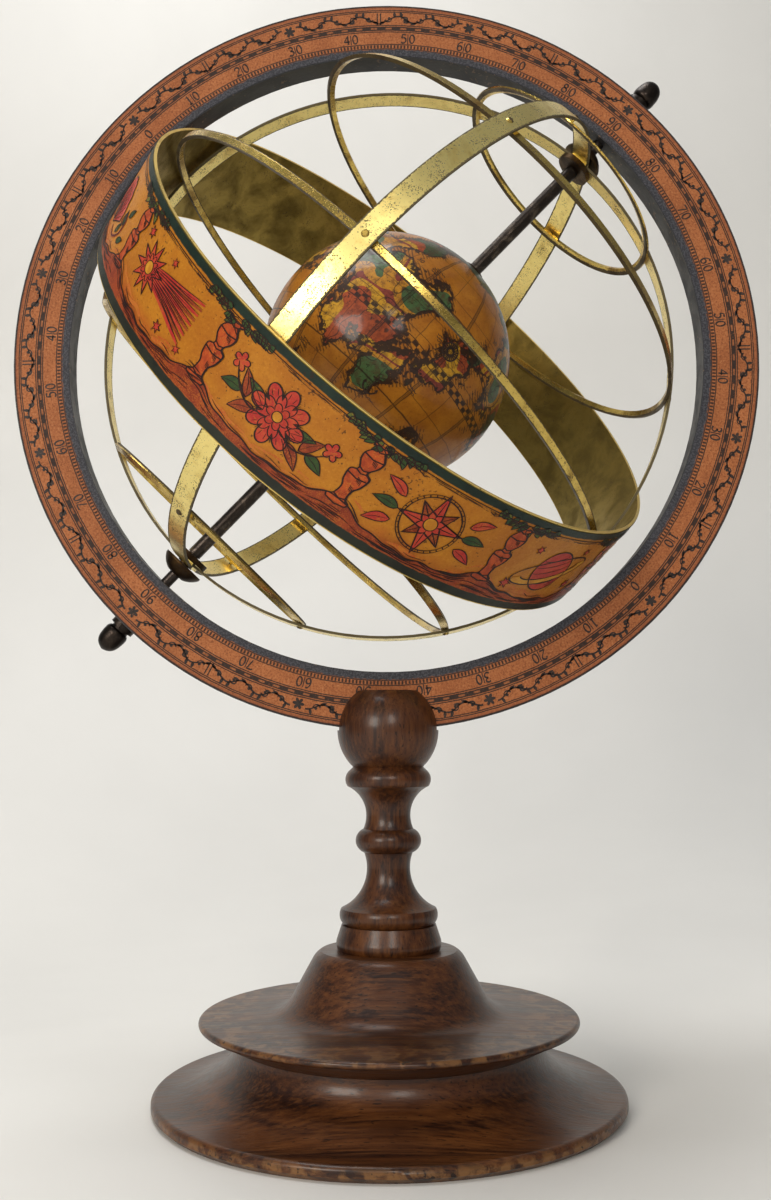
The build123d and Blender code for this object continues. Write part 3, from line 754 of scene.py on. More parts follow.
def printRing(place, suffix, finish):
    # Numerals from 0 at the equator to 90 at the poles, tops outward and read clockwise
    inked = Print()
    radius = ring["outer"] - scale["numeralFoot"]
    tall = scale["numeralHeight"]
    for turn in range(0, 360, 10):
        fromPole = turn if turn <= 180 else 360 - turn
        label = str(abs(90 - fromPole))
        for i, digit in enumerate(label):
            left = (i - (len(label) - 1) / 2) * (scale["digitPitch"] + 0.4) - 0.3 * tall
            for line in digitStrokes[digit]:
                flat = [(left + x * tall, y * tall) for x, y in line]
                inkDegrees(inked, flat, turn, radius, scale["penWidth"])
        if len(label) == 2:
            inkDegrees(inked, [(0.0, -0.3), (0.0, tall)], turn, radius, scale["penWidth"] * 0.6)
    inked.lay("ringNumerals" + suffix, onRing(place), 0.02, finish, "stand", "ring_paper")

    # A leaf scroll between divider bars, in the outer band
    scroll = Print()
    middle = ring["outer"] - scale["wordMiddle"]
    rise = scale["vineRise"]
    wave = scale["vineWave"]
    for start in range(0, 360, 30):
        for bar in (-0.55, 0.55):
            inkDegrees(scroll, [(bar, -2.1), (bar, 2.1)], start + 15, middle, 0.5)
        for half in (-1, 1):
            along = np.linspace(2.4, 2.75 * wave, 60)
            vine = [(half * x, rise * math.sin(2 * math.pi * x / wave)) for x in along]
            inkDegrees(scroll, vine, start, middle, scale["vinePen"])
            for k in range(5):
                # A curl closes each hollow of the vine
                side = 1 if k % 2 else -1
                x = 0.5 * (k + 1) * wave
                curl = []
                for a in np.linspace(0.0, 2.7, 14):
                    reach = 1.75 - 0.5 * a
                    du, dv = (reach * math.cos(a + 0.3), reach * math.sin(a + 0.3))
                    curl.append((half * (x + du), side * (dv - 0.35)))
                inkDegrees(scroll, curl, start, middle, scale["vinePen"] * 0.85)
                dot = oval(half * (x + 0.35), -0.35 * side, 0.48, 0.48, 10)[:-1]
                scroll.fill([toDegrees(px, py, start, middle) for px, py in dot], None, 50)
                leafDegrees(scroll, x + 1.4, 0.9 * side, side, 0.3, half, start, middle)
                leafDegrees(scroll, x - 1.5, -0.7 * side, -side, 0.5, half, start, middle)
        petals = petalOutline(6, 0.9, 1.9)
        scroll.fill([toDegrees(x, y, start, middle) for x, y in petals], toDegrees(0, 0, start, middle), 50)
    scroll.lay("ringScroll" + suffix, onRing(place), 0.02, finish, "stand", "ring_paper")


def toDegrees(x, y, turn, radius):
    # Flat mm, x clockwise and y outward, to the ring's (degrees, mm in from the edge)
    return (turn - math.degrees(x / (radius + y)), ring["outer"] - radius - y)


def inkDegrees(target, line, turn, radius, width):
    # Lays a pen stroke on the ring: widened in flat mm, then turned into degrees
    local = Print()
    local.stroke(line, width, width * 0.55, longest=0.8)
    first = len(target.points)
    target.points += [toDegrees(x, y, turn, radius) for x, y in local.points]
    target.faces += [tuple(first + i for i in face) for face in local.faces]


def leafDegrees(target, x, y, side, lean, half, turn, radius):
    outline = moved(leafOutline(2.3, 0.95), x, y, lean + side * 0.7)
    target.fill([toDegrees(half * px, py, turn, radius) for px, py in outline], None, 50)


# Motifs of the band's panels, each drawn about (0, 0) in a box about 36 by 20 mm

def moved(points, x, y, turn=0.0, size=1.0):
    c = math.cos(turn) * size
    s = math.sin(turn) * size
    return [(x + px * c - py * s, y + px * s + py * c) for px, py in points]


def mirrored(points, side):
    return [(px * side, py) for px, py in points]


def petalOutline(count, inner, outer, power=1.0, samples=10):
    found = []
    for k in range(count * samples):
        angle = 2 * math.pi * k / (count * samples)
        radius = inner + (outer - inner) * abs(math.cos(count * angle / 2)) ** power
        found.append((radius * math.cos(angle), radius * math.sin(angle)))
    return found


def starOutline(count, inner, outer):
    return [((inner if k % 2 else outer) * math.cos(math.pi * k / count),
             (inner if k % 2 else outer) * math.sin(math.pi * k / count)) for k in range(2 * count)]


def leafOutline(length, width, bend=0.0, samples=9):
    def line(side, order):
        return [(t * length, side * width / 2 * math.sin(math.pi * t ** 0.75) + bend * math.sin(math.pi * t))
                for t in order]
    return line(1, np.linspace(0, 1, samples)) + line(-1, np.linspace(1, 0, samples)[1:-1])


class Panel:
    # One panel's inks, with its own middle and slant
    def __init__(self, inks, x, y, turn=0.0, size=1.0):
        self.inks = inks
        self.at = (x, y, turn, size)

    def shape(self, ink, outline, rim=0.46, middle=None):
        placed = moved(outline, *self.at)
        self.inks[ink].fill(placed, moved([middle], *self.at)[0] if middle else None)
        if rim:
            self.inks["line"].stroke(placed + placed[:2], rim, rim * 0.5)

    def line(self, points, width=0.36, taper=True):
        self.inks["line"].stroke(moved(points, *self.at), width, width * 0.45, taper=taper)

    def brush(self, ink, points, width, taper=True):
        self.inks[ink].stroke(moved(points, *self.at), width, width * 0.8, taper=taper)

    def hatch(self, x, y, lean, length, count, pitch, width=0.24):
        # Short combed pen strokes side by side
        for k in range(count):
            start = (x - k * pitch * math.sin(lean), y + k * pitch * math.cos(lean))
            far = length * (0.7 + 0.3 * math.sin(math.pi * (k + 0.5) / count))
            self.line([start, (start[0] + far * math.cos(lean), start[1] + far * math.sin(lean))], width)

    def leaf(self, ink, x, y, lean, length, width, bend=0.0, rim=0.36):
        self.shape(ink, moved(leafOutline(length, width, bend), x, y, lean), rim)
        vein = [(length * t, bend * math.sin(math.pi * t)) for t in (0.1, 0.5, 0.9)]
        self.line(moved(vein, x, y, lean), 0.24)


def drawSun(panel):
    for k in range(16):
        angle = 2 * math.pi * k / 16
        ray = leafOutline(8.2 if k % 2 else 10.0, 2.3, 0.5)
        ray = moved(ray, 4.0 * math.cos(angle), 4.0 * math.sin(angle), angle, 0.62 if k % 2 else 0.72)
        panel.shape("rust" if k % 2 else "crimson", ray, 0.34)
    panel.shape("yellow", oval(0, 0, 4.6, 4.6, 32)[:-1], 0.46)
    panel.line(oval(0, 0, 3.5, 3.5, 28), 0.26, False)
    panel.shape("crimson", petalOutline(8, 1.2, 2.8), 0.3)
    panel.hatch(-3.9, -1.6, -0.6, 2.0, 5, 0.7)
    for side in (-1, 1):
        for k in range(3):
            curl = smoothLine([(0, 0), (2.0, 1.0), (4.0, -0.2), (6.0, 0.6), (6.6, 2.0), (5.6, 2.4),
                               (5.2, 1.6)])
            curl = moved(mirrored(curl, side), side * 11.0, -5.0 + 3.7 * k)
            panel.brush("rust", curl, 1.1)
            panel.line(curl, 0.42)


def drawMoon(panel):
    outer = arc(0, 0, 8.2, 8.2, 0.78, 2 * math.pi - 0.78, 30)
    inner = arc(3.7, 0, 6.1, 6.1, 1.22, 2 * math.pi - 1.22, 30)
    panel.inks["crimson"].strip(moved(inner, *panel.at), moved(outer, *panel.at))
    panel.line(outer, 0.5, False)
    panel.line(inner, 0.46, False)
    for k in range(11):
        a = 2.05 + 0.2 * k
        far = (7.6 * math.cos(a), 7.6 * math.sin(a))
        panel.line([far, (5.4 * math.cos(a + 0.1), 5.4 * math.sin(a + 0.1))], 0.26)
    panel.shape("yellow", moved(starOutline(8, 1.3, 3.6), 5.0, 0.3, 0.3), 0.34)
    panel.shape("crimson", moved(oval(0, 0, 1.0, 1.0, 12)[:-1], 5.0, 0.3), 0.26)
    for side in (-1, 1):
        cloud = petalOutline(7, 2.0, 2.9, 0.5)
        panel.shape("rust", [(1.7 * px + side * 13.2, 0.8 * py - side * 3.2) for px, py in cloud], 0.4)
        panel.shape("rust", [(1.2 * px + side * 11.4, 0.7 * py + side * 4.6) for px, py in cloud], 0.4)
        panel.hatch(side * 13.2 - 3.0, -side * 3.2 - 1.2, 0.1, 4.6, 4, 0.6)


def drawFlower(panel):
    for side in (-1, 1):
        stem = smoothLine([(side * 2.0, -2.0), (side * 8.0, -3.6), (side * 13.5, -1.0), (side * 17.0, 3.0)])
        panel.line(stem, 0.62)
        for length, x, y, lean, ink in ((8.8, 4.0, -1.4, 0.42, "green"), (8.2, 5.6, -3.2, -0.62, "rust"),
                                        (7.6, 9.6, -2.6, 0.95, "rust"), (6.8, 11.6, -2.0, -0.3, "green")):
            panel.leaf(ink, side * x, y, lean if side > 0 else math.pi - lean, length, 3.3, 0.5 * side)
        panel.shape("crimson", moved(petalOutline(5, 1.2, 2.6, 0.7), side * 16.4, 3.4, 0.4), 0.36)
    panel.shape("crimson", petalOutline(8, 4.6, 8.8, 0.6), 0.5)
    panel.shape("rust", moved(petalOutline(8, 3.2, 6.0, 0.7), 0, 0, 0.39), 0.36)
    panel.shape("crimson", petalOutline(6, 1.9, 3.6, 0.7), 0.34)
    panel.shape("yellow", oval(0, 0, 1.5, 1.5, 18)[:-1], 0.34)
    for k in range(24):
        a = 2 * math.pi * (k + 0.5) / 24
        panel.line([(5.6 * math.cos(a), 5.6 * math.sin(a)), (7.3 * math.cos(a), 7.3 * math.sin(a))], 0.24)


def drawShell(panel):
    fan = [(0, -7.4)]
    for a in np.linspace(0.3, math.pi - 0.3, 57):
        lobe = 0.7 * abs(math.sin(9 * a))
        fan.append(((9.4 + lobe) * math.cos(a), -7.4 + (14.6 + lobe) * math.sin(a)))
    panel.shape("crimson", fan, 0.52, (0, 0.5))
    for a in np.linspace(0.42, math.pi - 0.42, 11):
        panel.line([(0.7 * math.cos(a), -6.6), (8.6 * math.cos(a), -7.4 + 13.6 * math.sin(a))], 0.4)
    for r in (0.42, 0.6, 0.8):
        panel.line(arc(0, -7.4, 9.2 * r, 14.2 * r, 0.5, math.pi - 0.5, 18), 0.28)
    for side in (-1, 1):
        curl = smoothLine([(side * 3.4, -7.0), (side * 8.6, -8.0), (side * 13.6, -5.0), (side * 14.2, -0.4),
                           (side * 11.6, 0.8), (side * 10.6, -1.8), (side * 12.2, -2.8)])
        panel.brush("rust", curl, 1.5)
        panel.line(curl, 0.5)
        for x, y, lean in ((9.6, -6.2, 1.0), (13.4, -2.2, 1.9), (15.4, -6.0, 0.5), (14.6, 1.6, 0.9)):
            panel.leaf("green", side * x, y, lean if side > 0 else math.pi - lean, 4.8, 2.0)


def drawComet(panel):
    for k in range(9):
        bend = (k - 4) * 0.56
        tail = smoothLine([(-7.0, bend * 0.8), (-1.0, bend * 1.3 + 0.8), (6.0, bend * 1.9 + 1.2),
                           (15.5, bend * 2.5 + 0.3 * k)])
        panel.brush("rust" if k % 2 else "crimson", tail, 1.7)
        panel.line([(x, y + 0.6) for x, y in tail], 0.34)
        panel.line([(x + 1.0, y + 0.1) for x, y in tail[3:-3]], 0.24)
    panel.shape("crimson", moved(starOutline(10, 3.6, 7.6), -9.0, 0, 0.2), 0.46)
    panel.shape("rust", moved(petalOutline(10, 2.3, 3.8), -9.0, 0, 0.2), 0.34)
    panel.shape("yellow", moved(oval(0, 0, 1.9, 1.9, 20)[:-1], -9.0, 0), 0.34)
    for x, y, size in ((-16.6, 6.4, 1.9), (6.4, -7.4, 1.9), (16.0, -6.6, 1.5), (-1.0, 8.0, 1.5)):
        panel.shape("crimson", moved(starOutline(6, 0.4 * size, size), x, y), 0.3)


def drawPlanet(panel):
    tilt = 0.28
    panel.line(moved(arc(0, 0, 15.4, 4.2, 0, math.pi, 30), 0, 0, tilt), 0.6, False)
    panel.shape("crimson", oval(0, 0, 7.8, 7.8, 44)[:-1], 0.52)
    for k, width in enumerate((5.0, 7.0, 7.6, 7.0, 5.2)):
        y = 5.4 - 2.3 * k
        belt = arc(0, y, width, 1.1, math.pi * 1.06, math.pi * 1.94, 16)
        panel.brush("rust", moved([(px, py - 0.8) for px, py in belt], 0, 0, tilt), 0.9)
        panel.line(moved(belt, 0, 0, tilt), 0.4)
    panel.hatch(3.0, -5.6, 0.9, 3.4, 6, -0.6)
    inner = moved(arc(0, 0, 11.6, 2.6, math.pi, 2 * math.pi, 34), 0, 0, tilt)
    outer = moved(arc(0, 0, 15.6, 4.5, math.pi, 2 * math.pi, 34), 0, 0, tilt)
    panel.inks["yellow"].strip(moved(inner, *panel.at), moved(outer, *panel.at), 2)
    panel.line(inner, 0.42, False)
    panel.line(outer, 0.5, False)
    for x, y, size in ((-15.2, -6.4, 2.3), (15.6, -6.0, 2.0), (-12.0, 7.2, 1.7), (11.0, 8.0, 1.5)):
        panel.shape("crimson", moved(starOutline(6, 0.4 * size, size), x, y), 0.32)


def drawUrn(panel):
    # Heights from 0 to 1 and half widths
    half = [(0.0, 4.2), (0.06, 4.6), (0.12, 1.8), (0.18, 1.5), (0.28, 4.6), (0.46, 7.2), (0.6, 7.5),
            (0.72, 4.8), (0.82, 2.9), (0.92, 3.9), (1.0, 4.9)]
    line = smoothLine(half, 4)
    left = [(-w, -9 + 17.5 * t) for t, w in line]
    right = [(w, -9 + 17.5 * t) for t, w in line]
    panel.inks["crimson"].strip(moved(left, *panel.at), moved(right, *panel.at), 7)
    panel.line(left, 0.55, False)
    panel.line(right, 0.55, False)
    for t, w in ((0.0, 4.2), (0.28, 4.6), (0.46, 7.1), (0.6, 7.4), (0.82, 2.9), (1.0, 4.9)):
        panel.line([(-w, -9 + 17.5 * t), (0, -9.6 + 17.5 * t), (w, -9 + 17.5 * t)], 0.42, False)
    for k in range(9):
        panel.shape("rust", moved(oval(0, 0, 0.62, 0.75, 10)[:-1], -5.6 + 1.4 * k, 0.1), 0.26)
    panel.hatch(-4.6, -2.6, 1.3, 3.4, 6, 0.6)
    for side in (-1, 1):
        handle = smoothLine([(side * 3.2, 6.0), (side * 8.4, 7.6), (side * 10.2, 3.8), (side * 7.2, 1.4)])
        panel.brush("rust", handle, 1.4)
        panel.line(handle, 0.5)
        for k in range(5):
            lean = 0.35 + 0.28 * k
            panel.leaf("green" if k % 2 else "rust", side * (9.2 + 1.7 * k), -7.4 + 2.0 * k,
                       lean if side > 0 else math.pi - lean, 7.0 - k * 0.5, 2.7, 0.5 * side)


def drawRose(panel):
    panel.line(oval(0, 0, 8.6, 8.6, 48), 0.42, False)
    panel.line(oval(0, 0, 9.4, 9.4, 48), 0.28, False)
    for k in range(32):
        a = math.pi * k / 16
        panel.line([(r * math.cos(a), r * math.sin(a)) for r in (8.6, 9.4)], 0.3, False)
    panel.shape("rust", moved(starOutline(4, 3.0, 8.0), 0, 0, math.pi / 4), 0.42)
    panel.shape("crimson", starOutline(4, 3.0, 10.4), 0.46)
    panel.shape("crimson", moved(petalOutline(8, 2.6, 4.0), 0, 0, 0.39), 0.34)
    panel.shape("yellow", oval(0, 0, 2.0, 2.0, 20)[:-1], 0.36)
    for k in range(8):
        a = math.pi * k / 4
        panel.line([(2.0 * math.cos(a), 2.0 * math.sin(a)), (7.6 * math.cos(a), 7.6 * math.sin(a))], 0.34)
    for side in (-1, 1):
        for k in range(3):
            lean = 0.42 * (k - 1)
            panel.leaf("green" if k == 1 else "crimson", side * 10.4, -4.0 + 4.0 * k,
                       lean if side > 0 else math.pi - lean, 7.8, 3.0, 0.5 * side)


motifs = [drawPlanet, drawSun, drawUrn, drawMoon, drawShell, drawComet, drawFlower, drawRose]
panels = {"count": 12, "shift": 9.0, "middle": 0.6, "trunk": 6.4, "dip": 2.2, "slant": 1.6}


def drawBaluster(inks, x, foot, head):
    # Two pots on a rope-bound foot
    profile = smoothLine([(0.0, 3.0), (0.05, 3.3), (0.1, 1.9), (0.24, 1.6), (0.34, 2.6), (0.46, 3.1),
                          (0.52, 2.9), (0.55, 1.7), (0.6, 1.5), (0.7, 2.7), (0.8, 3.0), (0.88, 2.1),
                          (0.93, 1.5), (0.97, 2.6), (1.0, 2.7)], 4)
    collars = [(0.0, 3.0), (0.1, 1.9), (0.46, 3.1), (0.55, 1.7), (0.6, 1.5), (0.8, 3.0), (0.93, 1.5),
               (1.0, 2.7)]
    slant = panels["slant"]

    def at(t, w):
        return (x + slant * t + w, foot + (head - foot) * t)
    left = [at(t, -w) for t, w in profile]
    right = [at(t, w) for t, w in profile]
    inks["pot"].strip(left, right, 5)
    inks["line"].stroke(left, 0.5, 0.3)
    inks["line"].stroke(right, 0.7, 0.4)
    for t, w in collars:
        middle = at(t, 0)
        inks["line"].stroke([at(t, -w), (middle[0], middle[1] - 0.6), at(t, w)], 0.42, 0.3)
    for t in (0.2, 0.36, 0.68):
        for k in range(4):
            start = at(t + 0.01 * k, 1.9 - 0.42 * k)
            inks["line"].stroke([start, (start[0] - 0.2, start[1] + 1.7)], 0.26, 0.16, taper=True)


def drawFoliage(inks, x, head):
    # Tufts that spread along the upper border from each baluster's head
    for k in range(22):
        side = -1 if k % 2 else 1
        reach = (k // 2) * 1.05
        px = x + side * reach + dice.uniform(-0.4, 0.4)
        py = head + 0.4 - dice.uniform(0.0, 2.6) * (1 - reach / 13)
        lean = -math.pi / 2 + side * dice.uniform(0.5, 1.25)
        outline = moved(leafOutline(dice.uniform(2.6, 4.4) * (1 - reach / 26), 1.9, 0.3 * side), px, py, lean)
        inks["green" if k % 3 else "moss"].fill(outline)
        inks["line"].stroke(outline + outline[:1], 0.3, 0.16)
    for k in range(16):
        px = x + dice.uniform(-12.5, 12.5)
        side = -1 if px < x else 1
        start = (px, head - 0.7 - dice.uniform(0, 0.8))
        sprig = [start, (start[0] + side * 1.3, start[1] - 0.5), (start[0] + side * 2.2, start[1] - 0.1)]
        inks["line"].stroke(sprig, 0.34, 0.14, taper=True)


def printBand(finishes):
    inks = {name: Print() for name in finishes}
    reach = math.pi * band["paper"]
    step = 2 * reach / panels["count"]
    foot = -band["half"] + band["lowerBorder"]
    head = band["half"] - band["upperBorder"]
    along = list(np.arange(-reach, reach, 0.9)) + [reach]
    waves = [dice.uniform(0, 6) for _ in range(4)]

    def crest(x):
        # The ground rises to a trunk under each baluster
        share = 0.5 - 0.5 * math.cos(panels["count"] * (x - panels["shift"]) / band["paper"])
        turn = x / band["paper"]
        ripple = 0.35 * math.sin(37 * turn + waves[0]) + 0.25 * math.sin(71 * turn + waves[1])
        return foot + panels["dip"] + (panels["trunk"] - panels["dip"]) * share ** 2.6 + ripple

    def insideCrest(x, share):
        return (x, foot + (crest(x) - foot) * share)

    # Brushed washes above the ground
    for k in range(110):
        x = dice.uniform(-reach, reach - 14)
        lift = dice.uniform(-0.6, 2.6)
        length = dice.uniform(5, 13)
        line = [(x + length * t, crest(x + length * t) + lift + 0.5 * math.sin(3 * t))
                for t in np.linspace(0, 1, 9)]
        inks["wash"].stroke(line, dice.uniform(0.6, 1.5), taper=True)
    inks["rust"].strip([(x, foot) for x in along], [(x, crest(x)) for x in along], 3)
    inks["line"].stroke([(x, crest(x)) for x in along], 0.46, 0.26, longest=1.0)
    for k in range(330):
        # Combed strokes that follow the ground
        x = dice.uniform(-reach, reach - 12)
        share = dice.uniform(0.12, 0.92)
        drift = dice.uniform(-0.12, 0.12)
        length = dice.uniform(3, 11)
        line = [insideCrest(x + length * t, share + drift * t) for t in np.linspace(0, 1, 8)]
        inks["line"].stroke(line, dice.uniform(0.22, 0.46), 0.1, taper=True)
    for k in range(70):
        x = dice.uniform(-reach, reach - 9)
        lift = dice.uniform(0.3, 2.2)
        length = dice.uniform(3, 8)
        line = [(x + length * t, crest(x + length * t) + lift * (1 - 0.5 * t)) for t in np.linspace(0, 1, 7)]
        inks["line"].stroke(line, dice.uniform(0.16, 0.3), 0.08, taper=True)

    for k in range(panels["count"]):
        middle = (k - panels["count"] / 2) * step + panels["shift"]
        panel = Panel(inks, middle, panels["middle"] + dice.uniform(-0.3, 0.3), dice.uniform(-0.1, 0.1), 1.0)
        motifs[k % len(motifs)](panel)
        edge = middle + step / 2
        edge -= 2 * reach if edge > reach - 4 else 0
        drawBaluster(inks, edge, foot + panels["trunk"] - 1.2, head - 1.4)
        drawFoliage(inks, edge + panels["slant"], head)
    inks["line"].stroke([(x, head - 0.5) for x in along], 0.3, 0.22, longest=1.0)
    for k in range(120):
        x = dice.uniform(-reach, reach - 9)
        length = dice.uniform(2, 8)
        y = head - dice.uniform(0.9, 1.5)
        inks["line"].stroke([(x, y), (x + length, y + dice.uniform(-0.2, 0.2))], 0.2, 0.1, taper=True)

    for name, inked in inks.items():
        pieceName = "zodiac" + name.capitalize()
        inked.lay(pieceName, onBand, band["lifts"][name], finishes[name], "cage", "zodiac_paper")


# Marks on the globe, (longitude, latitude) in degrees and size in mm
globeMarks = {"roses": [(-34, -6, 2.9), (30, 10, 2.7), (98, -24, 2.7), (150, 16, 2.9), (-118, 14, 2.9),
                        (-160, -30, 2.6)],
              "anchors": [(16, -24, 4.6), (-80, -22, 4.4), (120, 30, 4.4), (-150, 36, 4.2)],
              "waves": 44,
              "numerals": [(-45, 30), (-15, 30), (15, -15), (45, 30), (75, -30), (135, -15), (-75, 15),
                           (165, 30), (-105, -30), (-135, -15)]}


def printGlobe(finish):
    inked = []

    def fresh(lon, lat):
        inked.append((Print(), onGlobe(math.radians(lon), math.radians(lat))))
        return inked[-1][0]

    for lon, lat, reach in globeMarks["roses"]:
        # Dark wind roses with rays round them
        rose = fresh(lon, lat)
        rose.stroke(oval(0, 0, reach, reach, 40), 0.5, 0.5, longest=0.6)
        rose.stroke(oval(0, 0, reach * 0.36, reach * 0.36, 20), 0.4, 0.4, longest=0.5)
        for k in range(20):
            angle = math.pi * k / 10
            near = (reach * 0.3 * math.cos(angle), reach * 0.3 * math.sin(angle))
            rose.stroke([near, (reach * math.cos(angle), reach * math.sin(angle))], 0.46, 0.42, longest=0.7)
            far = reach * (1.75 if k % 2 else 2.3)
            rose.stroke([(reach * 1.15 * math.cos(angle), reach * 1.15 * math.sin(angle)),
                         (far * math.cos(angle), far * math.sin(angle))], 0.15, 0.12, longest=1.0)
    for lon, lat, size in globeMarks["anchors"]:
        anchor = fresh(lon, lat)
        anchor.stroke([(0, -size * 0.7), (0, size * 0.62)], 0.5, 0.5)
        anchor.stroke([(-size * 0.34, size * 0.4), (size * 0.34, size * 0.4)], 0.45, 0.4)
        anchor.stroke(oval(0, size * 0.74, size * 0.13, size * 0.13, 12), 0.3, 0.3, longest=0.4)
        flukes = arc(0, -size * 0.18, size * 0.52, size * 0.52, math.pi * 1.04, math.pi * 1.96, 15)
        anchor.stroke(flukes, 0.55, 0.45, longest=0.5)
        for side in (-1, 1):
            tip = [(0.52, -0.02), (0.34, -0.24), (0.62, -0.3)]
            anchor.fill([(side * size * px, size * py) for px, py in tip])
        for k in range(3):
            ripple = [(-3.4, -3.4), (-2.6, -3.1), (-1.8, -3.5), (-1.0, -3.2)]
            ripple = [(px + 5 * (k % 2), py - 0.7 * k) for px, py in ripple]
            anchor.stroke(smoothLine(ripple), 0.24, 0.14)
    for k in range(globeMarks["waves"]):
        # Groups of small waves stand for water
        lat = math.degrees(math.asin(dice.uniform(-0.85, 0.82)))
        wave = fresh(dice.uniform(-180, 180), lat)
        lean = dice.uniform(-0.3, 0.3)
        for row in range(dice.randint(2, 4)):
            start = dice.uniform(-2.6, -1.6)
            line = [(start + 0.55 * i, -0.8 * row + 0.16 * (-1) ** i) for i in range(dice.randint(5, 10))]
            wave.stroke(moved(smoothLine(line, 3), 0, 0, lean), 0.26, 0.14, longest=0.5)
    for lon, lat in globeMarks["numerals"]:
        place = fresh(lon + 2.2, lat + 2.0)
        for i, digit in enumerate(str(abs(lat))):
            for line in digitStrokes[digit]:
                place.stroke([(1.25 * i + 1.5 * px, 1.6 * py) for px, py in line], 0.3, 0.16, longest=0.4)
    for k, (marks, mapping) in enumerate(inked):
        marks.lay(f"globeMark{k:02d}", mapping, 0.02, finish, "globe", "globe_paper")


# Make the finishes

print("finishes")
beechFoot = makeBeech("beechFoot", True, {"height": 2.0, "width": 3.0, "share": 0.6})
beechPlinth = makeBeech("beechPlinth", True, {"height": 25.2, "width": 1.6, "share": 0.5})
beechStem = makeBeech("beechStem", False)
hoopBrass = makeBrass("hoopBrass", "#DCBE66", "#8A6A2E", 0.4, 0.75, 0.5, edge=parallelsEdge)
colureBrass = makeBrass("colureBrass", "#FBE592", "#C49E48", 0.5, 0.85, 0.5, (0.3, 0.42), coluresEdge)
bandBrass = makeBrass("bandBrass", "#A08A48", "#6A5A2C", 0.3, 0.72, 0.4, (0.42, 0.6), rim=bandRim)
# A darker copy of the brass for the pole washers, bushes and globe caps: painted shade
shadedPoleBrass = makeBrass("shadedPoleBrass", "#5A4426", "#33261A", 0.3, 0.6, 0.5, (0.3, 0.5))
gunmetal = makeGunmetal("gunmetalRod")
finialSteel = makeGunmetal("finialSteel", "#29231F", "#5E5044", 0.35)
boardBlack = makeBoard()
paperFront = makeRingPaper("ringPaperFront", frontFrame)
paperBack = makeRingPaper("ringPaperBack", backFrame)
ringInk = makeInk("ringInk", ("#241E1B", "#332A26"), wear=0.5, under="#9A6038", roughness=0.6)
bandPaper = makeBandPaper()
globePaper = makeGlobePaper()
globeInk = makeInk("globeInk", ("#1D120C", "#2C1C12"), wear=0.5, under="#8A5A20", coat=0.4, roughness=0.45)
bandInks = {
    "wash": makeInk("zodiacWash", ("#A64A1C", "#B4602A"), 300.0, 0.75, "#AE6E1E", 0.14, 0.5),
    "rust": makeInk("zodiacRust", ("#8C3A1A", "#742A16"), 300.0, 0.62, "#A4581E", 0.14, 0.5),
    "moss": makeInk("zodiacMoss", ("#5A6424", "#434F20"), 300.0, 0.6, "#8A6A22", 0.14, 0.5),
    "green": makeInk("zodiacGreen", ("#33481F", "#243A20"), 300.0, 0.55, "#7A6420", 0.14, 0.5),
    "pot": makeInk("zodiacPot", ("#AE4A1C", "#8C3216"), 420.0, 0.55, "#B46A20", 0.14, 0.5),
    "crimson": makeInk("zodiacCrimson", ("#9E2422", "#B03C28"), 260.0, 0.58, "#AA5A1E", 0.14, 0.5),
    "yellow": makeInk("zodiacYellow", ("#C08A26", "#A86C1A"), 300.0, 0.5, "#B9732C", 0.14, 0.5),
    "line": makeInk("zodiacInk", ("#1A0E0B", "#2C140D"), 300.0, 0.42, "#7A3A18", 0.14, 0.5),
}

print("stand")
dress(beechFoot, "foot_disc")
dress(beechPlinth, "plinth_disc")
dress(beechStem, "stem_collar", "turned_stem")
dress(gunmetal, "foot_screw", "polar_rod", "north_sleeve", "south_sleeve")
dress(finialSteel, "north_finial", "south_finial")
dress(shadedPoleBrass, "north_domed_washer", "south_domed_washer", "north_pole_bush", "south_pole_bush",
      "globe_north_cap", "globe_south_cap")

print("ring")
dress(boardBlack, "meridian_ring")
dress(paperFront, "meridian_paper_front")
dress(paperBack, "meridian_paper_back")
printRing(frontFrame, "Front", ringInk)
printRing(backFrame, "Back", ringInk)

print("cage")
dress(colureBrass, "solstitial_colure", "equinoctial_colure")
dress(hoopBrass, "arctic_circle", "tropic_of_cancer", "equator_hoop", "tropic_of_capricorn",
      "antarctic_circle", "hoop_rivets", "band_pins")
dress(bandBrass, "zodiac_band")
dress(bandPaper, "zodiac_paper")
printBand(bandInks)

print("globe")
dress(globePaper, "globe_gores", "globe_ball")
printGlobe(globeInk)


# Room, lamps and camera

def makeRoom():
    floor = bpy.data.meshes.new("floor")
    wide = 4.0
    rise = 0.45
    deep = 0.62
    rows = [(-3.0, 0.0), (deep - rise, 0.0)]
    rows += arc(deep - rise, rise, rise, rise, 0.1 - math.pi / 2, 0.0, 16)
    rows.append((deep, 3.0))
    verts = [(x, y, z) for y, z in rows for x in (-wide, wide)]
    faces = [(2 * i, 2 * i + 1, 2 * i + 3, 2 * i + 2) for i in range(len(rows) - 1)]
    floor.from_pydata(verts, [], faces)
    floor.polygons.foreach_set("use_smooth", [True] * len(floor.polygons))
    finish, wires, shader = newFinish("paleFloor", Roughness=0.55)
    tone = wires.use(cloudedTone, Vector=wires.spot(), Scale=2.0, Low=0.3, High=0.7)
    wires.feed(shader["Base Color"], wires.mix(tone, paint("#E2E1DD"), paint("#D9D8D4")))
    floor.materials.append(finish)
    stage = bpy.data.objects.new("floor", floor)
    bpy.context.scene.collection.objects.link(stage)


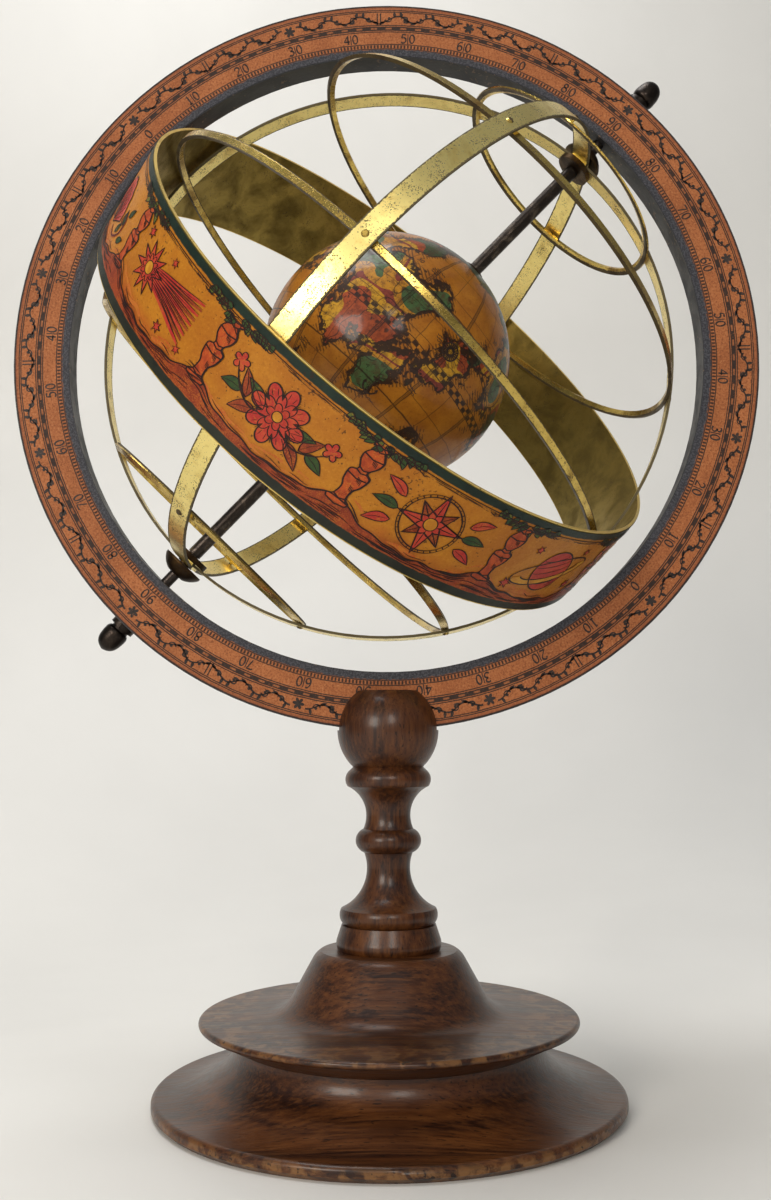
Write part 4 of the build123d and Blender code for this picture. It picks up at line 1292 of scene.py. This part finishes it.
def addLamp(name, spot, target, size, power, tint="#FFFFFF"):
    lamp = bpy.data.lights.new(name, "AREA")
    lamp.shape = "RECTANGLE"
    lamp.size, lamp.size_y = size
    lamp.energy = power
    lamp.color = paint(tint)[:3]
    made = bpy.data.objects.new(name, lamp)
    bpy.context.scene.collection.objects.link(made)
    made.location = spot
    made.rotation_euler = (Vector(target) - Vector(spot)).to_track_quat("-Z", "Y").to_euler()


def makeLight():
    world = bpy.data.worlds.new("room")
    world.use_nodes = True
    wires = Wires(world.node_tree)
    sky = world.node_tree.nodes["Background"]
    height = wires.node("ShaderNodeSeparateXYZ")
    wires.feed(height.inputs[0], wires.node("ShaderNodeTexCoord").outputs["Generated"])
    above = wires.rise(height.outputs[2], -0.2, 0.6)
    wires.feed(sky.inputs["Color"], wires.mix(above, paint("#54524E"), paint("#C9CCD0")))
    sky.inputs["Strength"].default_value = 0.42
    bpy.context.scene.world = world
    addLamp("leftWindow", (-0.62, -0.96, 0.47), (0, 0, 0.2), (0.4, 0.42), 7.0, "#FFF6EA")
    addLamp("rightWindow", (0.15, -1.04, 0.56), (0, 0, 0.2), (0.26, 0.34), 3.0, "#FFF9F0")
    addLamp("topLamp", (-0.25, 0.0, 1.35), (0, 0, 0.1), (0.7, 0.6), 10.0)


camera = {"lens": 36.27, "sensor": 36.0, "spot": (-0.0002, -0.3826, 0.1094), "pitch": 96.52, "roll": -0.23,
          "yaw": 0.06}


def makeCamera():
    eye = bpy.data.cameras.new("camera")
    eye.lens = camera["lens"]
    eye.sensor_width = camera["sensor"]
    eye.clip_start = 0.01
    made = bpy.data.objects.new("camera", eye)
    bpy.context.scene.collection.objects.link(made)
    made.location = camera["spot"]
    aim = Matrix.Identity(3)
    for key, about in (("yaw", "Z"), ("pitch", "X"), ("roll", "Z")):
        aim = aim @ Matrix.Rotation(math.radians(camera[key]), 3, about)
    made.rotation_euler = aim.to_euler()
    bpy.context.scene.camera = made


print("room")
makeRoom()
makeLight()
makeCamera()
bpy.context.scene.view_settings.view_transform = "Standard"
